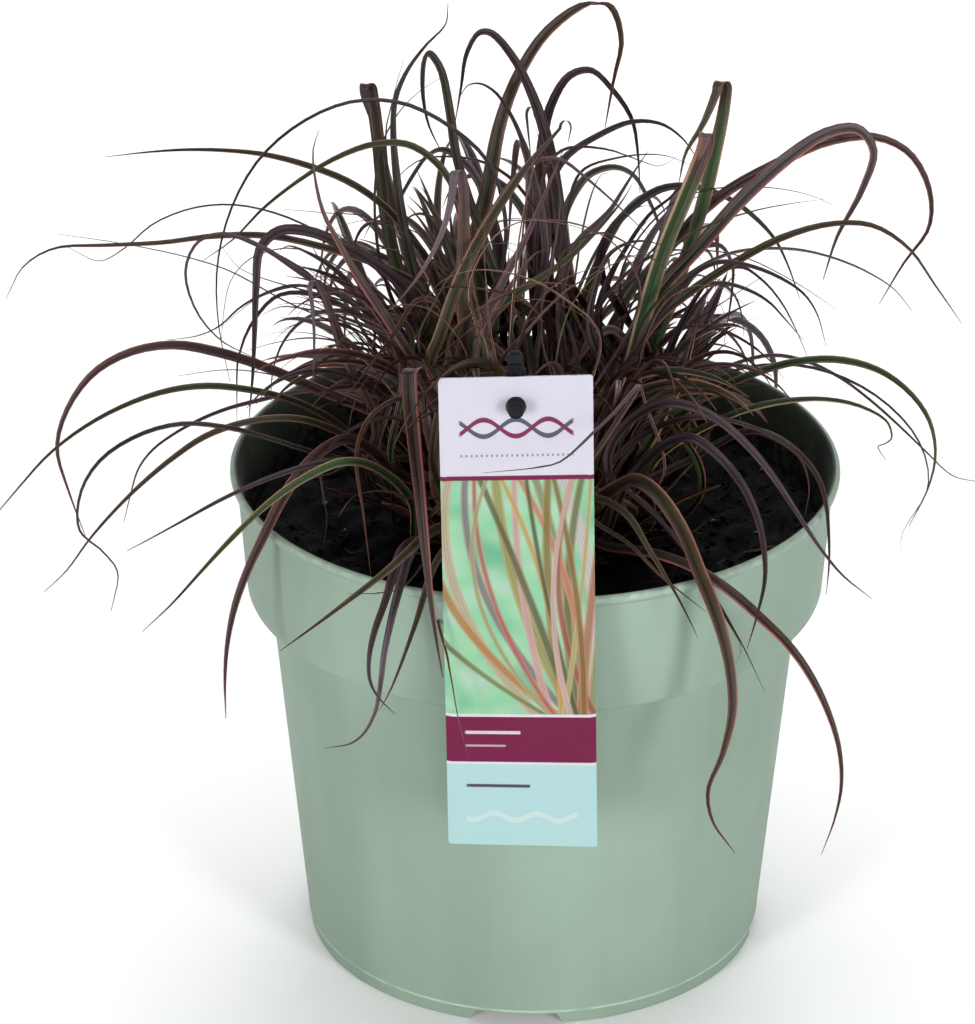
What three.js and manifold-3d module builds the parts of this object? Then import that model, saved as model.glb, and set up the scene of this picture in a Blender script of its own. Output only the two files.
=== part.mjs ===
// A red hook sedge in a round nursery pot, with a hanging tag on a stake.
// Units are millimetres, +Z is up, and the origin is the middle of the pot's underside.
import * as THREE from 'three';
import { mergeVertices } from 'three/addons/utils/BufferGeometryUtils.js';
import Module from 'manifold-3d';

// Pot: a thin moulded shell with a flared rim, a stepped collar and a tapered body
const RIM_RADIUS = 95;
const POT_HEIGHT = 161.3;
const RIM_ROLL = 2.1;
const COLLAR_TOP_RADIUS = 92.9;
const COLLAR_FOOT_RADIUS = 90.4;
const COLLAR_FOOT_HEIGHT = 121.5;
const STEP_DROP = 3;
const BODY_TOP_RADIUS = 83.2;
const BODY_FOOT_RADIUS = 72.8;
const FOOT_RADIUS = 72.2;
const FOOT_BAND_HEIGHT = 4.7;
const WALL = 1.4;
const POT_SIDES = 60;

// Pot base: a raised ring channel with drain holes, open to the outside at notches in the foot
const CHANNEL_INNER_RADIUS = 22;
const CHANNEL_OUTER_RADIUS = 60;
const CHANNEL_HEIGHT = 3.8;
const CHANNEL_SLOPE = 2.5;
const NOTCH_WIDTH = 30;
const NOTCH_COUNT = 4;
const NOTCH_TURN_DEG = -94;
const DRAIN_COUNT = 8;
const DRAIN_RADIUS = 4.5;
const DRAIN_RING_RADIUS = 41;

// Soil and the clump of leaf bases that stands in it
const GAP = 0.3;
const SOIL_HEIGHT = 139;
const SOIL_BUMP = 1.6;
const SOIL_SIDES = 40;
const SOIL_RINGS = 8;
const CROWN_RADIUS = 38;
const CROWN_HEIGHT = 21;
const CROWN_SIDES = 36;
const CROWN_RINGS = 8;

// Tag: a thin card that hangs by its hole on the peg of a stake, just outside the rim
const TAG_WIDTH = 44.6;
const TAG_LENGTH = 151;
const TAG_THICKNESS = 0.6;
const TAG_CORNER = 2.2;
const TAG_LEAN_DEG = 3.3;
const TAG_ROLL_DEG = 1;
const TAG_HOLE_RADIUS = 3;
const TAG_HOLE_DROP = 9.3;
const TAG_HOLE_MARK = [516, 406.5];
const TAG_HOLE_DEPTH = -94;
const PEG_RADIUS = 1.9;
const PEG_CAP_RADIUS = 2.4;
const PEG_CAP_LENGTH = 1.6;
const STAKE_WIDTH = 5.6;
const STAKE_THICKNESS = 3;
const STAKE_HEAD = 17.5;
const STAKE_LENGTH = 152;
const STAKE_POINT = 16;
const STAKE_LEAN_DEG = 7.5;
const PEG_SHANK = 2.6;
const PEG_RISE = TAG_HOLE_RADIUS - PEG_RADIUS - 0.3;

// Leaves: long keeled blades, narrow at the foot and drawn out to a thread at the tip
const BLADE_RINGS = 16;
const BLADE_THICKNESS = 0.55;
const BLADE_FOLD = 0.16;
const FOOT_NARROWING = 0.6;
const TIP_NARROWING = 0.16;
const FULL_WIDTH_FROM = 0.25;
const FULL_WIDTH_TO = 0.55;
const SEAT_GAP = 0.4;
const FOOT_SPREAD = 0.93;
const FOOT_PULL = 0.42;
const NECK_LENGTH = 5.5;
const RISE_SHARE = 0.34;
const PICTURE_LEAD = 60;
const BEND_WEIGHT = 9;
const SPREAD_ROUNDS = 200;
const SPREAD_REACH = 42;
const SPREAD_EASE = 0.12;
const SPREAD_STEP = 0.4;
const SETTLE_FROM = 0.75;
const NEIGHBOUR_REACH = 40;
const ROOM_SHARE = 0.72;
const ROOM_MARGIN = 0.4;
const RIM_STEP = 0.6;
const FOOT_STIFF_LENGTH = 20;
const RIM_CLEARANCE = 2.6;

// View of the plant that the leaves' outlines were read from: eye place, aim and enlargement
const PICTURE_WIDTH = 975;
const PICTURE_HEIGHT = 1024;
const VIEW_TILT_DEG = 26.44;
const VIEW_DISTANCE = 1525;
const VIEW_FOCAL = 4868;
const VIEW_AIM = new THREE.Vector3(-14.8, 0, 143.1);

// Each leaf has its width, its depths behind the pot's axis at half its length and at its tip, and
// the points that its midrib passes in the view, in picture units from the foot to the tip.
const LEAVES = {
  upper_left: [
    { width: 4.4, depths: [14, 30], seen: [
      [430, 300], [300, 242], [230, 236], [153, 244], [80, 247], [42, 252], [14, 279], [6, 299]
    ] },
    { width: 4.0, depths: [34, 70], seen: [
      [440, 290], [376, 200], [315, 169], [264, 155], [201, 150], [153, 152], [105, 157]
    ] },
    { width: 4.8, depths: [10, -10], seen: [
      [505, 250], [487, 161], [449, 127], [391, 101], [334, 107], [276, 142], [240, 189], [218, 260],
      [219, 330], [230, 382]
    ] },
    { width: 4.4, depths: [22, 10], seen: [
      [470, 270], [449, 180], [410, 146], [368, 146], [319, 168], [263, 209], [226, 246], [201, 262]
    ] },
    { width: 5.2, depths: [52, 78], seen: [
      [420, 330], [392, 250], [383, 191], [378, 143], [372, 100], [367, 82], [361, 88], [366, 117]
    ] },
    { width: 4.0, depths: [26, 52], seen: [
      [440, 340], [408, 249], [397, 182], [393, 130], [397, 92], [418, 54], [446, 23], [448, 3]
    ] },
    { width: 4.2, depths: [48, 66], seen: [
      [490, 260], [458, 166], [447, 99], [438, 64], [429, 54], [423, 70], [428, 122], [443, 155]
    ] },
    { width: 4.0, depths: [-18, -34], seen: [
      [400, 350], [300, 273], [249, 242], [210, 235], [188, 258], [191, 298], [216, 336], [262, 361]
    ] },
    { width: 4.2, depths: [8, -22], seen: [
      [410, 300], [330, 240], [284, 230], [262, 246], [256, 302], [254, 359], [249, 420]
    ] },
    { width: 3.8, depths: [-4, -12], seen: [[390, 330], [300, 286], [249, 302], [210, 332], [167, 340]] },
    { width: 4.0, depths: [42, 58], seen: [
      [440, 330], [334, 241], [268, 211], [210, 205], [153, 224], [103, 261], [68, 247]
    ] },
  ],
  top: [
    { width: 4.6, depths: [46, 64], seen: [
      [560, 230], [546, 139], [525, 80], [504, 46], [485, 31], [470, 46], [461, 89], [455, 124]
    ] },
    { width: 5.0, depths: [58, 84], seen: [
      [480, 260], [488, 191], [509, 96], [555, 24], [603, 2], [621, 36], [614, 78], [605, 128]
    ] },
    { width: 4.6, depths: [70, 92], seen: [
      [540, 230], [546, 124], [565, 80], [587, 70], [614, 92], [633, 123], [640, 193]
    ] },
    { width: 4.0, depths: [26, 44], seen: [
      [545, 250], [526, 153], [512, 118], [490, 88], [471, 84], [458, 100]
    ] },
    { width: 4.4, depths: [62, 96], seen: [
      [560, 260], [555, 172], [581, 147], [633, 122], [670, 128], [699, 161]
    ] },
    { width: 3.8, depths: [4, -8], seen: [
      [455, 300], [490, 218], [526, 169], [554, 158], [603, 193], [648, 235]
    ] },
    { width: 3.8, depths: [34, 60], seen: [[560, 310], [574, 249], [609, 212], [629, 180], [648, 151]] },
  ],
  right: [
    { width: 5.0, depths: [34, 60], seen: [
      [660, 330], [700, 215], [714, 158], [724, 110], [727, 84], [721, 80], [710, 112], [686, 152],
      [679, 183]
    ] },
    { width: 5.2, depths: [8, 24], seen: [
      [630, 370], [662, 257], [691, 185], [706, 146], [707, 132], [698, 140], [690, 162]
    ] },
    { width: 4.8, depths: [30, 40], seen: [
      [640, 330], [702, 245], [749, 193], [807, 145], [849, 127], [872, 145], [861, 191], [832, 247],
      [823, 280]
    ] },
    { width: 5.0, depths: [46, 62], seen: [
      [650, 290], [702, 212], [774, 166], [841, 139], [895, 143], [926, 181], [929, 226], [897, 272],
      [879, 304]
    ] },
    { width: 4.8, depths: [2, -4], seen: [
      [640, 350], [739, 261], [807, 230], [865, 224], [909, 249], [946, 303], [962, 324]
    ] },
    { width: 4.4, depths: [14, 22], seen: [
      [640, 330], [712, 261], [783, 249], [847, 263], [895, 290], [912, 311]
    ] },
    { width: 4.2, depths: [-14, -28], seen: [[630, 360], [710, 265], [766, 272], [810, 301], [826, 346]] },
    { width: 4.2, depths: [24, 36], seen: [[640, 350], [706, 286], [758, 295], [803, 340]] },
    { width: 4.4, depths: [8, -6], seen: [
      [560, 400], [608, 330], [645, 370], [650, 410], [623, 462], [594, 483]
    ] },
  ],
  lower_right: [
    { width: 5.0, depths: [-6, -22], seen: [
      [640, 460], [692, 407], [761, 372], [830, 360], [886, 375], [927, 417], [934, 468], [909, 526]
    ] },
    { width: 4.6, depths: [-20, -30], seen: [
      [650, 470], [724, 419], [793, 401], [851, 404], [888, 424], [890, 441], [878, 446], [886, 460]
    ] },
    { width: 4.4, depths: [22, 30], seen: [
      [650, 420], [729, 367], [777, 356], [827, 371], [878, 407], [923, 449], [957, 478], [980, 482]
    ] },
    { width: 4.6, depths: [-52, -74], seen: [
      [610, 450], [658, 405], [703, 412], [753, 452], [798, 515], [835, 568], [872, 599]
    ] },
    { width: 4.6, depths: [-60, -92], seen: [
      [630, 480], [687, 438], [729, 468], [756, 515], [765, 568], [762, 595], [747, 649]
    ] },
    { width: 5.6, depths: [-84, -108], seen: [
      [600, 500], [639, 482], [674, 518], [700, 576], [724, 642], [732, 707], [720, 761], [707, 795],
      [715, 827], [735, 853]
    ] },
    { width: 4.6, depths: [-84, -104], seen: [
      [600, 545], [658, 555], [707, 576], [752, 611], [801, 662], [836, 737], [840, 796], [821, 855]
    ] },
    { width: 4.4, depths: [-22, -44], seen: [
      [610, 470], [676, 421], [740, 424], [796, 453], [809, 489], [805, 515]
    ] },
    { width: 4.2, depths: [-70, -98], seen: [[600, 500], [629, 518], [647, 547], [679, 600], [698, 638]] },
    { width: 4.2, depths: [-8, -24], seen: [
      [690, 460], [750, 432], [785, 444], [819, 481], [829, 550], [826, 595]
    ] },
  ],
  lower_left: [
    { width: 4.8, depths: [6, -6], seen: [
      [410, 440], [300, 383], [236, 358], [165, 346], [99, 369], [58, 436], [66, 481], [87, 540]
    ] },
    { width: 5.0, depths: [-24, -40], seen: [
      [400, 460], [300, 404], [201, 387], [130, 404], [59, 446], [0, 510], [-12, 524]
    ] },
    { width: 4.4, depths: [-52, -66], seen: [
      [390, 480], [300, 450], [236, 430], [160, 428], [90, 473], [81, 533], [116, 564], [111, 611]
    ] },
    { width: 4.4, depths: [-42, -58], seen: [
      [400, 470], [300, 420], [219, 431], [160, 469], [101, 526], [57, 582], [44, 592]
    ] },
    { width: 4.2, depths: [22, 16], seen: [
      [420, 430], [330, 392], [260, 401], [201, 420], [144, 460], [124, 522]
    ] },
    { width: 4.4, depths: [-70, -84], seen: [
      [400, 490], [350, 462], [300, 469], [236, 493], [165, 531], [127, 551]
    ] },
    { width: 4.4, depths: [-76, -106], seen: [
      [410, 500], [350, 462], [283, 493], [224, 547], [175, 601], [142, 632]
    ] },
    { width: 5.4, depths: [-52, -72], seen: [
      [410, 480], [345, 440], [300, 474], [267, 531], [238, 597], [226, 658], [226, 719]
    ] },
    { width: 4.4, depths: [-88, -112], seen: [[470, 540], [441, 528], [385, 573], [327, 617], [280, 651]] },
    { width: 4.6, depths: [-90, -108], seen: [
      [440, 540], [405, 548], [387, 597], [370, 651], [372, 687], [395, 714]
    ] },
    { width: 4.2, depths: [-80, -112], seen: [
      [450, 530], [417, 545], [401, 584], [385, 651], [375, 713], [356, 741], [324, 748]
    ] },
    { width: 5.4, depths: [-78, -104], seen: [
      [455, 440], [411, 367], [410, 390], [421, 504], [429, 584], [438, 650], [443, 678]
    ] },
    { width: 4.2, depths: [-96, -110], seen: [[460, 540], [437, 562], [414, 629], [392, 687], [379, 711]] },
  ],
  centre: [
    { width: 4.4, depths: [-26, -44], seen: [[450, 480], [413, 361], [390, 322], [367, 285], [340, 244]] },
  ],
  back: [
    { width: 4.6, depths: [88, 132], seen: [[500, 250], [470, 170], [440, 150], [405, 190], [385, 250]] },
    { width: 4.6, depths: [92, 138], seen: [[560, 240], [590, 175], [625, 170], [655, 215], [670, 270]] },
    { width: 4.4, depths: [98, 146], seen: [[530, 235], [528, 160], [520, 140], [512, 190], [508, 250]] },
    { width: 4.4, depths: [74, 118], seen: [[600, 260], [660, 190], [720, 195], [775, 240], [800, 300]] },
  ],
};

const radians = THREE.MathUtils.degToRad;
const wasm = await Module();
wasm.setup();

const group = new THREE.Group();

function addMesh(name, geometry, color, roughness, metalness = 0) {
  const mesh = new THREE.Mesh(geometry, new THREE.MeshStandardMaterial({ color, roughness, metalness }));
  mesh.name = name;
  group.add(mesh);
  return mesh;
}

// A closed geometry as a solid whose corners are shared
function toSolid(geometry) {
  const bare = geometry.clone();
  bare.deleteAttribute('normal');
  bare.deleteAttribute('uv');
  const merged = mergeVertices(bare, 1e-4);
  return new wasm.Manifold(new wasm.Mesh({
    numProp: 3,
    vertProperties: new Float32Array(merged.attributes.position.array),
    triVerts: new Uint32Array(merged.index.array),
  }));
}

function toGeometry(solid) {
  const mesh = solid.getMesh();
  const geometry = new THREE.BufferGeometry();
  geometry.setAttribute('position', new THREE.BufferAttribute(new Float32Array(mesh.vertProperties), 3));
  geometry.setIndex(new THREE.BufferAttribute(new Uint32Array(mesh.triVerts), 1));
  geometry.computeVertexNormals();
  return geometry;
}

// Turns a profile of [radius, height] points, from the axis at the bottom to the axis at the top
function turned(profile, sides) {
  const points = profile.map(([radius, height]) => new THREE.Vector2(radius, height));
  return new THREE.LatheGeometry(points, sides).rotateX(Math.PI / 2);
}

// The outer radius of the body at a height
function bodyRadius(height) {
  const share = (height - FOOT_BAND_HEIGHT) / (COLLAR_FOOT_HEIGHT - STEP_DROP - FOOT_BAND_HEIGHT);
  return BODY_FOOT_RADIUS + (BODY_TOP_RADIUS - BODY_FOOT_RADIUS) * share;
}

// The outer radius of the collar at a height
function collarRadius(height) {
  const share = (height - COLLAR_FOOT_HEIGHT) / (POT_HEIGHT - 2 * RIM_ROLL - COLLAR_FOOT_HEIGHT);
  return COLLAR_FOOT_RADIUS + (COLLAR_TOP_RADIUS - COLLAR_FOOT_RADIUS) * share;
}

function outsideProfile() {
  return [
    [0, 0],
    [CHANNEL_INNER_RADIUS - CHANNEL_SLOPE, 0],
    [CHANNEL_INNER_RADIUS, CHANNEL_HEIGHT],
    [CHANNEL_OUTER_RADIUS, CHANNEL_HEIGHT],
    [CHANNEL_OUTER_RADIUS + CHANNEL_SLOPE, 0],
    [FOOT_RADIUS - 0.6, 0],
    [FOOT_RADIUS, 0.6],
    [FOOT_RADIUS, FOOT_BAND_HEIGHT - 0.6],
    [BODY_FOOT_RADIUS, FOOT_BAND_HEIGHT],
    [BODY_TOP_RADIUS, COLLAR_FOOT_HEIGHT - STEP_DROP],
    [COLLAR_FOOT_RADIUS - 1.4, COLLAR_FOOT_HEIGHT - 1.3],
    [COLLAR_FOOT_RADIUS, COLLAR_FOOT_HEIGHT],
    [COLLAR_TOP_RADIUS, POT_HEIGHT - 2 * RIM_ROLL],
    [RIM_RADIUS - 0.5, POT_HEIGHT - 1.3 * RIM_ROLL],
    [RIM_RADIUS, POT_HEIGHT - 0.7 * RIM_ROLL],
    [RIM_RADIUS, POT_HEIGHT - 0.3 * RIM_ROLL],
    [RIM_RADIUS - 0.5, POT_HEIGHT],
    [0, POT_HEIGHT],
  ];
}

function insideProfile() {
  const top = POT_HEIGHT + 1;
  return [
    [0, WALL],
    [CHANNEL_INNER_RADIUS - CHANNEL_SLOPE - 0.8, WALL],
    [CHANNEL_INNER_RADIUS - 0.8, CHANNEL_HEIGHT + WALL],
    [CHANNEL_OUTER_RADIUS + 0.8, CHANNEL_HEIGHT + WALL],
    [CHANNEL_OUTER_RADIUS + CHANNEL_SLOPE + 0.8, WALL],
    [FOOT_RADIUS - WALL - 0.8, WALL],
    [BODY_FOOT_RADIUS - WALL - 0.3, FOOT_BAND_HEIGHT + 1],
    [BODY_TOP_RADIUS - WALL, COLLAR_FOOT_HEIGHT - STEP_DROP + 0.8],
    [COLLAR_FOOT_RADIUS - WALL - 1.2, COLLAR_FOOT_HEIGHT],
    [COLLAR_FOOT_RADIUS - WALL, COLLAR_FOOT_HEIGHT + 1],
    [COLLAR_TOP_RADIUS - WALL, POT_HEIGHT - 2 * RIM_ROLL],
    [RIM_RADIUS - WALL - 0.9, POT_HEIGHT - 0.6],
    [RIM_RADIUS - WALL - 0.4, top],
    [0, top],
  ];
}

// The blocks that the notches take out of the foot ring, grown by a margin
function notchBlocks(margin) {
  const length = FOOT_RADIUS + 8 - CHANNEL_OUTER_RADIUS + margin;
  const height = CHANNEL_HEIGHT + margin;
  const blocks = [];
  for (let i = 0; i < NOTCH_COUNT; i += 1) {
    const block = new THREE.BoxGeometry(length, NOTCH_WIDTH + 2 * margin, height + 1);
    block.translate(CHANNEL_OUTER_RADIUS - margin + length / 2, 0, (height - 1) / 2);
    block.rotateZ(radians(NOTCH_TURN_DEG + i * 360 / NOTCH_COUNT));
    blocks.push(toSolid(block));
  }
  return blocks;
}

function makePot() {
  let outside = toSolid(turned(outsideProfile(), POT_SIDES));
  let inside = toSolid(turned(insideProfile(), POT_SIDES));
  notchBlocks(0).forEach((block) => { outside = outside.subtract(block); });
  notchBlocks(WALL).forEach((block) => { inside = inside.subtract(block); });
  let pot = outside.subtract(inside);
  for (let i = 0; i < DRAIN_COUNT; i += 1) {
    const turn = 2 * Math.PI * (i + 0.5) / DRAIN_COUNT;
    const drill = new THREE.CylinderGeometry(DRAIN_RADIUS, DRAIN_RADIUS, 4 * CHANNEL_HEIGHT, 16);
    drill.rotateX(Math.PI / 2);
    drill.translate(DRAIN_RING_RADIUS * Math.cos(turn), DRAIN_RING_RADIUS * Math.sin(turn), CHANNEL_HEIGHT);
    pot = pot.subtract(toSolid(drill));
  }
  return toGeometry(pot);
}

// The soil's surface is level under the clump and uneven around it
function soilBump(x, y) {
  const ramp = THREE.MathUtils.smoothstep(Math.hypot(x, y), CROWN_RADIUS + 2, CROWN_RADIUS + 16);
  const waves = Math.sin(x * 0.21 + 1.3) * Math.cos(y * 0.17) + 0.6 * Math.sin(x * 0.47 - y * 0.39);
  return ramp * SOIL_BUMP * waves;
}

function soilRadius() {
  return collarRadius(SOIL_HEIGHT) - WALL - GAP - 0.5;
}

function makeSoil() {
  const floor = CHANNEL_HEIGHT + WALL + GAP;
  const stepHeight = COLLAR_FOOT_HEIGHT + 1.4;
  const profile = [
    [0, WALL + GAP],
    [CHANNEL_INNER_RADIUS - CHANNEL_SLOPE - 1.4, WALL + GAP],
    [CHANNEL_INNER_RADIUS - 1.2, floor],
    [bodyRadius(floor) - WALL - 0.9, floor],
    [BODY_TOP_RADIUS - WALL - GAP - 0.1, COLLAR_FOOT_HEIGHT - STEP_DROP + 1.2],
    [COLLAR_FOOT_RADIUS - WALL - 1.7, stepHeight],
    [soilRadius(), SOIL_HEIGHT],
  ];
  for (let i = SOIL_RINGS - 1; i >= 0; i -= 1) {
    profile.push([soilRadius() * i / SOIL_RINGS, SOIL_HEIGHT]);
  }
  const soil = turned(profile, SOIL_SIDES);
  const place = soil.attributes.position;
  for (let i = 0; i < place.count; i += 1) {
    if (place.getZ(i) > SOIL_HEIGHT - 0.1) {
      place.setZ(i, SOIL_HEIGHT + soilBump(place.getX(i), place.getY(i)));
    }
  }
  return toGeometry(toSolid(soil).subtract(toSolid(placedStake(GAP))));
}

// The clump is a low dome: this is its surface point at a turn and a slope from its top
function crownPoint(turn, slope, lift) {
  const radius = (CROWN_RADIUS + lift) * Math.sin(slope);
  return new THREE.Vector3(
    radius * Math.cos(turn),
    radius * Math.sin(turn),
    SOIL_HEIGHT + GAP + (CROWN_HEIGHT + lift) * Math.cos(slope),
  );
}

function makeCrown() {
  const profile = [[0, SOIL_HEIGHT + GAP]];
  for (let i = 0; i <= CROWN_RINGS; i += 1) {
    const slope = Math.PI / 2 * (1 - i / CROWN_RINGS);
    profile.push([
      CROWN_RADIUS * Math.sin(slope),
      SOIL_HEIGHT + GAP + CROWN_HEIGHT * Math.cos(slope),
    ]);
  }
  profile[profile.length - 1][0] = 0;
  return toGeometry(toSolid(turned(profile, CROWN_SIDES)));
}

// The eye of the view, and the ray through a picture point
const tilt = radians(VIEW_TILT_DEG);
const eye = new THREE.Vector3(
  0,
  -VIEW_DISTANCE * Math.cos(tilt),
  VIEW_AIM.z + VIEW_DISTANCE * Math.sin(tilt),
);
const ahead = VIEW_AIM.clone().sub(eye).normalize();
const rightward = ahead.clone().cross(new THREE.Vector3(0, 0, 1)).normalize();
const upward = rightward.clone().cross(ahead);

function pointAt([across, down], depth) {
  const ray = ahead.clone().multiplyScalar(VIEW_FOCAL);
  ray.addScaledVector(rightward, across - PICTURE_WIDTH / 2);
  ray.addScaledVector(upward, PICTURE_HEIGHT / 2 - down);
  return eye.clone().addScaledVector(ray, (depth - eye.y) / ray.y);
}

// Feet spread evenly over the dome
function footPlaces(count) {
  const golden = Math.PI * (3 - Math.sqrt(5));
  return Array.from({ length: count }, (_, i) => ({
    turn: i * golden,
    slope: Math.acos(1 - FOOT_SPREAD * (i + 0.5) / count),
  }));
}

// How far a leaf's foot lies from where the leaf's own direction asks for it, squared
function footMiss(reach, { turn, slope }) {
  const wish = reach.clone().setZ(0);
  wish.setLength(Math.min(FOOT_PULL * wish.length(), CROWN_RADIUS - 3));
  return crownPoint(turn, slope, 0).setZ(0).distanceToSquared(wish);
}

// Gives each leaf a foot: pairs trade places for as long as that brings both closer together
function shareFeet(blades) {
  const places = footPlaces(blades.length);
  const cost = (i, j) => footMiss(blades[i].reach, places[j]);
  const held = blades.map((_, i) => i);
  let traded = true;
  while (traded) {
    traded = false;
    for (let i = 0; i < held.length; i += 1) {
      for (let j = i + 1; j < held.length; j += 1) {
        const gain = cost(i, held[i]) + cost(j, held[j]) - cost(i, held[j]) - cost(j, held[i]);
        if (gain > 1e-6) {
          [held[i], held[j]] = [held[j], held[i]];
          traded = true;
        }
      }
    }
  }
  return held.map((place) => places[place]);
}

// Depth along the leaf: from the foot through the middle depth to the tip depth
function depthAlong(foot, [middle, tip], share) {
  const a = 2 * (share - 0.5) * (share - 1);
  const b = 4 * share * (1 - share);
  const c = 2 * share * (share - 0.5);
  return a * foot + b * middle + c * tip;
}

function pictureLengths(points) {
  const lengths = [0];
  for (let i = 1; i < points.length; i += 1) {
    const step = Math.hypot(points[i][0] - points[i - 1][0], points[i][1] - points[i - 1][1]);
    lengths.push(lengths[i - 1] + step);
  }
  return lengths;
}

// The midrib's stations: straight out of the dome, then up and along the seen points to the tip
function bladeStations({ depths, seen }, { turn, slope }) {
  const lift = SEAT_GAP + BLADE_THICKNESS / 2;
  const foot = crownPoint(turn, slope, lift);
  const out = crownPoint(turn, slope, lift + 1).sub(foot).normalize();
  const neck = foot.clone().addScaledVector(out, NECK_LENGTH);
  const lengths = pictureLengths(seen);
  const total = lengths[lengths.length - 1] + PICTURE_LEAD;
  const shares = lengths.map((length) => (length + PICTURE_LEAD) / total);
  const points = seen.map((mark, i) => pointAt(mark, depthAlong(foot.y, depths, shares[i])));
  const first = points[0].clone().sub(neck);
  const rise = out.clone().add(first.clone().normalize()).normalize();
  const shoulder = neck.clone().addScaledVector(rise, RISE_SHARE * first.length());
  const curve = new THREE.CatmullRomCurve3([foot, neck, shoulder, ...points], false, 'centripetal');
  const stations = closerAtBends(curve.getSpacedPoints(40 * BLADE_RINGS), BLADE_RINGS);
  return { stations, out };
}

// Picks stations along a fine line, evenly by length but closer together where it bends
function closerAtBends(line, count) {
  const load = [0];
  for (let i = 1; i < line.length; i += 1) {
    const step = line[i].clone().sub(line[i - 1]);
    const last = i > 1 ? line[i - 1].clone().sub(line[i - 2]) : step;
    load.push(load[i - 1] + step.length() + BEND_WEIGHT * step.angleTo(last));
  }
  const total = load[load.length - 1];
  const picked = [];
  let j = 0;
  for (let i = 0; i < count; i += 1) {
    while (j < line.length - 1 && load[j] < total * i / (count - 1) - 1e-6) j += 1;
    picked.push(line[j].clone());
  }
  return picked;
}

// Half width of a blade at a share of its length
function halfWidth(width, share) {
  const { smoothstep, lerp } = THREE.MathUtils;
  const swell = lerp(FOOT_NARROWING, 1, smoothstep(share, 0, FULL_WIDTH_FROM));
  const fade = lerp(1, TIP_NARROWING, smoothstep(share, FULL_WIDTH_TO, 1));
  return 0.5 * width * swell * fade;
}

// A keeled blade: each ring has two margins, a crease on top and a keel below
function makeBlade({ width, stations, out }) {
  const reach = stations[stations.length - 1].clone().sub(stations[0]).setZ(0);
  const side = new THREE.Vector3(-reach.y, reach.x, 0).normalize();
  const corners = [];
  stations.forEach((station, i) => {
    const before = stations[Math.max(i - 1, 0)];
    const after = stations[Math.min(i + 1, stations.length - 1)];
    const along = i === 0 ? out : after.clone().sub(before).normalize();
    const across = side.clone().addScaledVector(along, -side.dot(along)).normalize();
    const over = along.clone().cross(across).normalize();
    const half = halfWidth(width, i / (stations.length - 1));
    const fold = BLADE_FOLD * half;
    corners.push(
      station.clone().addScaledVector(across, -half).addScaledVector(over, fold),
      station.clone().addScaledVector(over, -BLADE_THICKNESS / 2),
      station.clone().addScaledVector(across, half).addScaledVector(over, fold),
      station.clone().addScaledVector(over, BLADE_THICKNESS / 2),
    );
  });
  const faces = [];
  const quad = (a, b, c, d) => faces.push(a, b, c, a, c, d);
  for (let i = 0; i < stations.length - 1; i += 1) {
    for (let j = 0; j < 4; j += 1) {
      const k = (j + 1) % 4;
      quad(4 * i + j, 4 * i + k, 4 * i + 4 + k, 4 * i + 4 + j);
    }
  }
  const end = 4 * (stations.length - 1);
  faces.push(0, 3, 1, 1, 3, 2);
  faces.push(end, end + 1, end + 3, end + 1, end + 2, end + 3);
  const geometry = new THREE.BufferGeometry();
  const places = corners.flatMap((corner) => corner.toArray());
  geometry.setAttribute('position', new THREE.Float32BufferAttribute(places, 3));
  geometry.setIndex(faces);
  geometry.computeVertexNormals();
  return geometry;
}

// Names every leaf and lays out its midrib
function layOutBlades() {
  const blades = Object.entries(LEAVES).flatMap(([side, leaves]) => leaves.map((leaf, i) => {
    const reach = pointAt(leaf.seen[Math.floor(leaf.seen.length / 2)], leaf.depths[0]);
    return { ...leaf, name: `leaf_${side}_${i + 1}`, reach };
  }));
  const feet = shareFeet(blades);
  blades.forEach((blade, i) => {
    const { stations, out } = bladeStations(blade, feet[i]);
    blade.laid = stations;
    blade.out = out;
    blade.sight = blade.laid.map((station) => station.clone().sub(eye).normalize());
    blade.shift = blade.laid.map(() => 0);
    blade.length = lengthsAlong(blade.laid);
    moveStations(blade);
  });
  return blades;
}

function lengthsAlong(stations) {
  const lengths = [0];
  for (let i = 1; i < stations.length; i += 1) {
    lengths.push(lengths[i - 1] + stations[i].distanceTo(stations[i - 1]));
  }
  return lengths;
}

function moveStations(blade) {
  const { laid, sight, shift } = blade;
  blade.stations = laid.map((station, i) => station.clone().addScaledVector(sight[i], shift[i]));
}

// The closest points of two short straight stretches, as their shares and their distance
function closest(a, b, c, d) {
  const u = b.clone().sub(a);
  const v = d.clone().sub(c);
  const w = a.clone().sub(c);
  const uu = u.dot(u);
  const uv = u.dot(v);
  const vv = v.dot(v);
  const bend = Math.max(uu * vv - uv * uv, 1e-9);
  const clamp = (value) => THREE.MathUtils.clamp(value, 0, 1);
  let s = clamp((uv * v.dot(w) - vv * u.dot(w)) / bend);
  const t = clamp((uv * s + v.dot(w)) / vv);
  s = clamp((uv * t - u.dot(w)) / uu);
  const gap = a.clone().addScaledVector(u, s).sub(c.clone().addScaledVector(v, t));
  return { s, t, distance: gap.length() };
}

// Moves a stretch around a station along the line of sight, so the view stays as it was
function push(blade, index, amount) {
  for (let i = 1; i < blade.shift.length; i += 1) {
    const away = Math.abs(blade.length[i] - blade.length[index]);
    if (away < SPREAD_REACH) {
      const ease = 0.5 + 0.5 * Math.cos(Math.PI * away / SPREAD_REACH);
      blade.shift[i] += amount * ease * Math.min(1, blade.length[i] / FOOT_STIFF_LENGTH);
    }
  }
}

// Evens out a leaf's shifts, so that it bends gently
function easeShift(blade) {
  const old = [...blade.shift];
  for (let i = 1; i < old.length - 1; i += 1) {
    blade.shift[i] += SPREAD_EASE * ((old[i - 1] + old[i + 1]) / 2 - old[i]);
  }
  moveStations(blade);
}

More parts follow.
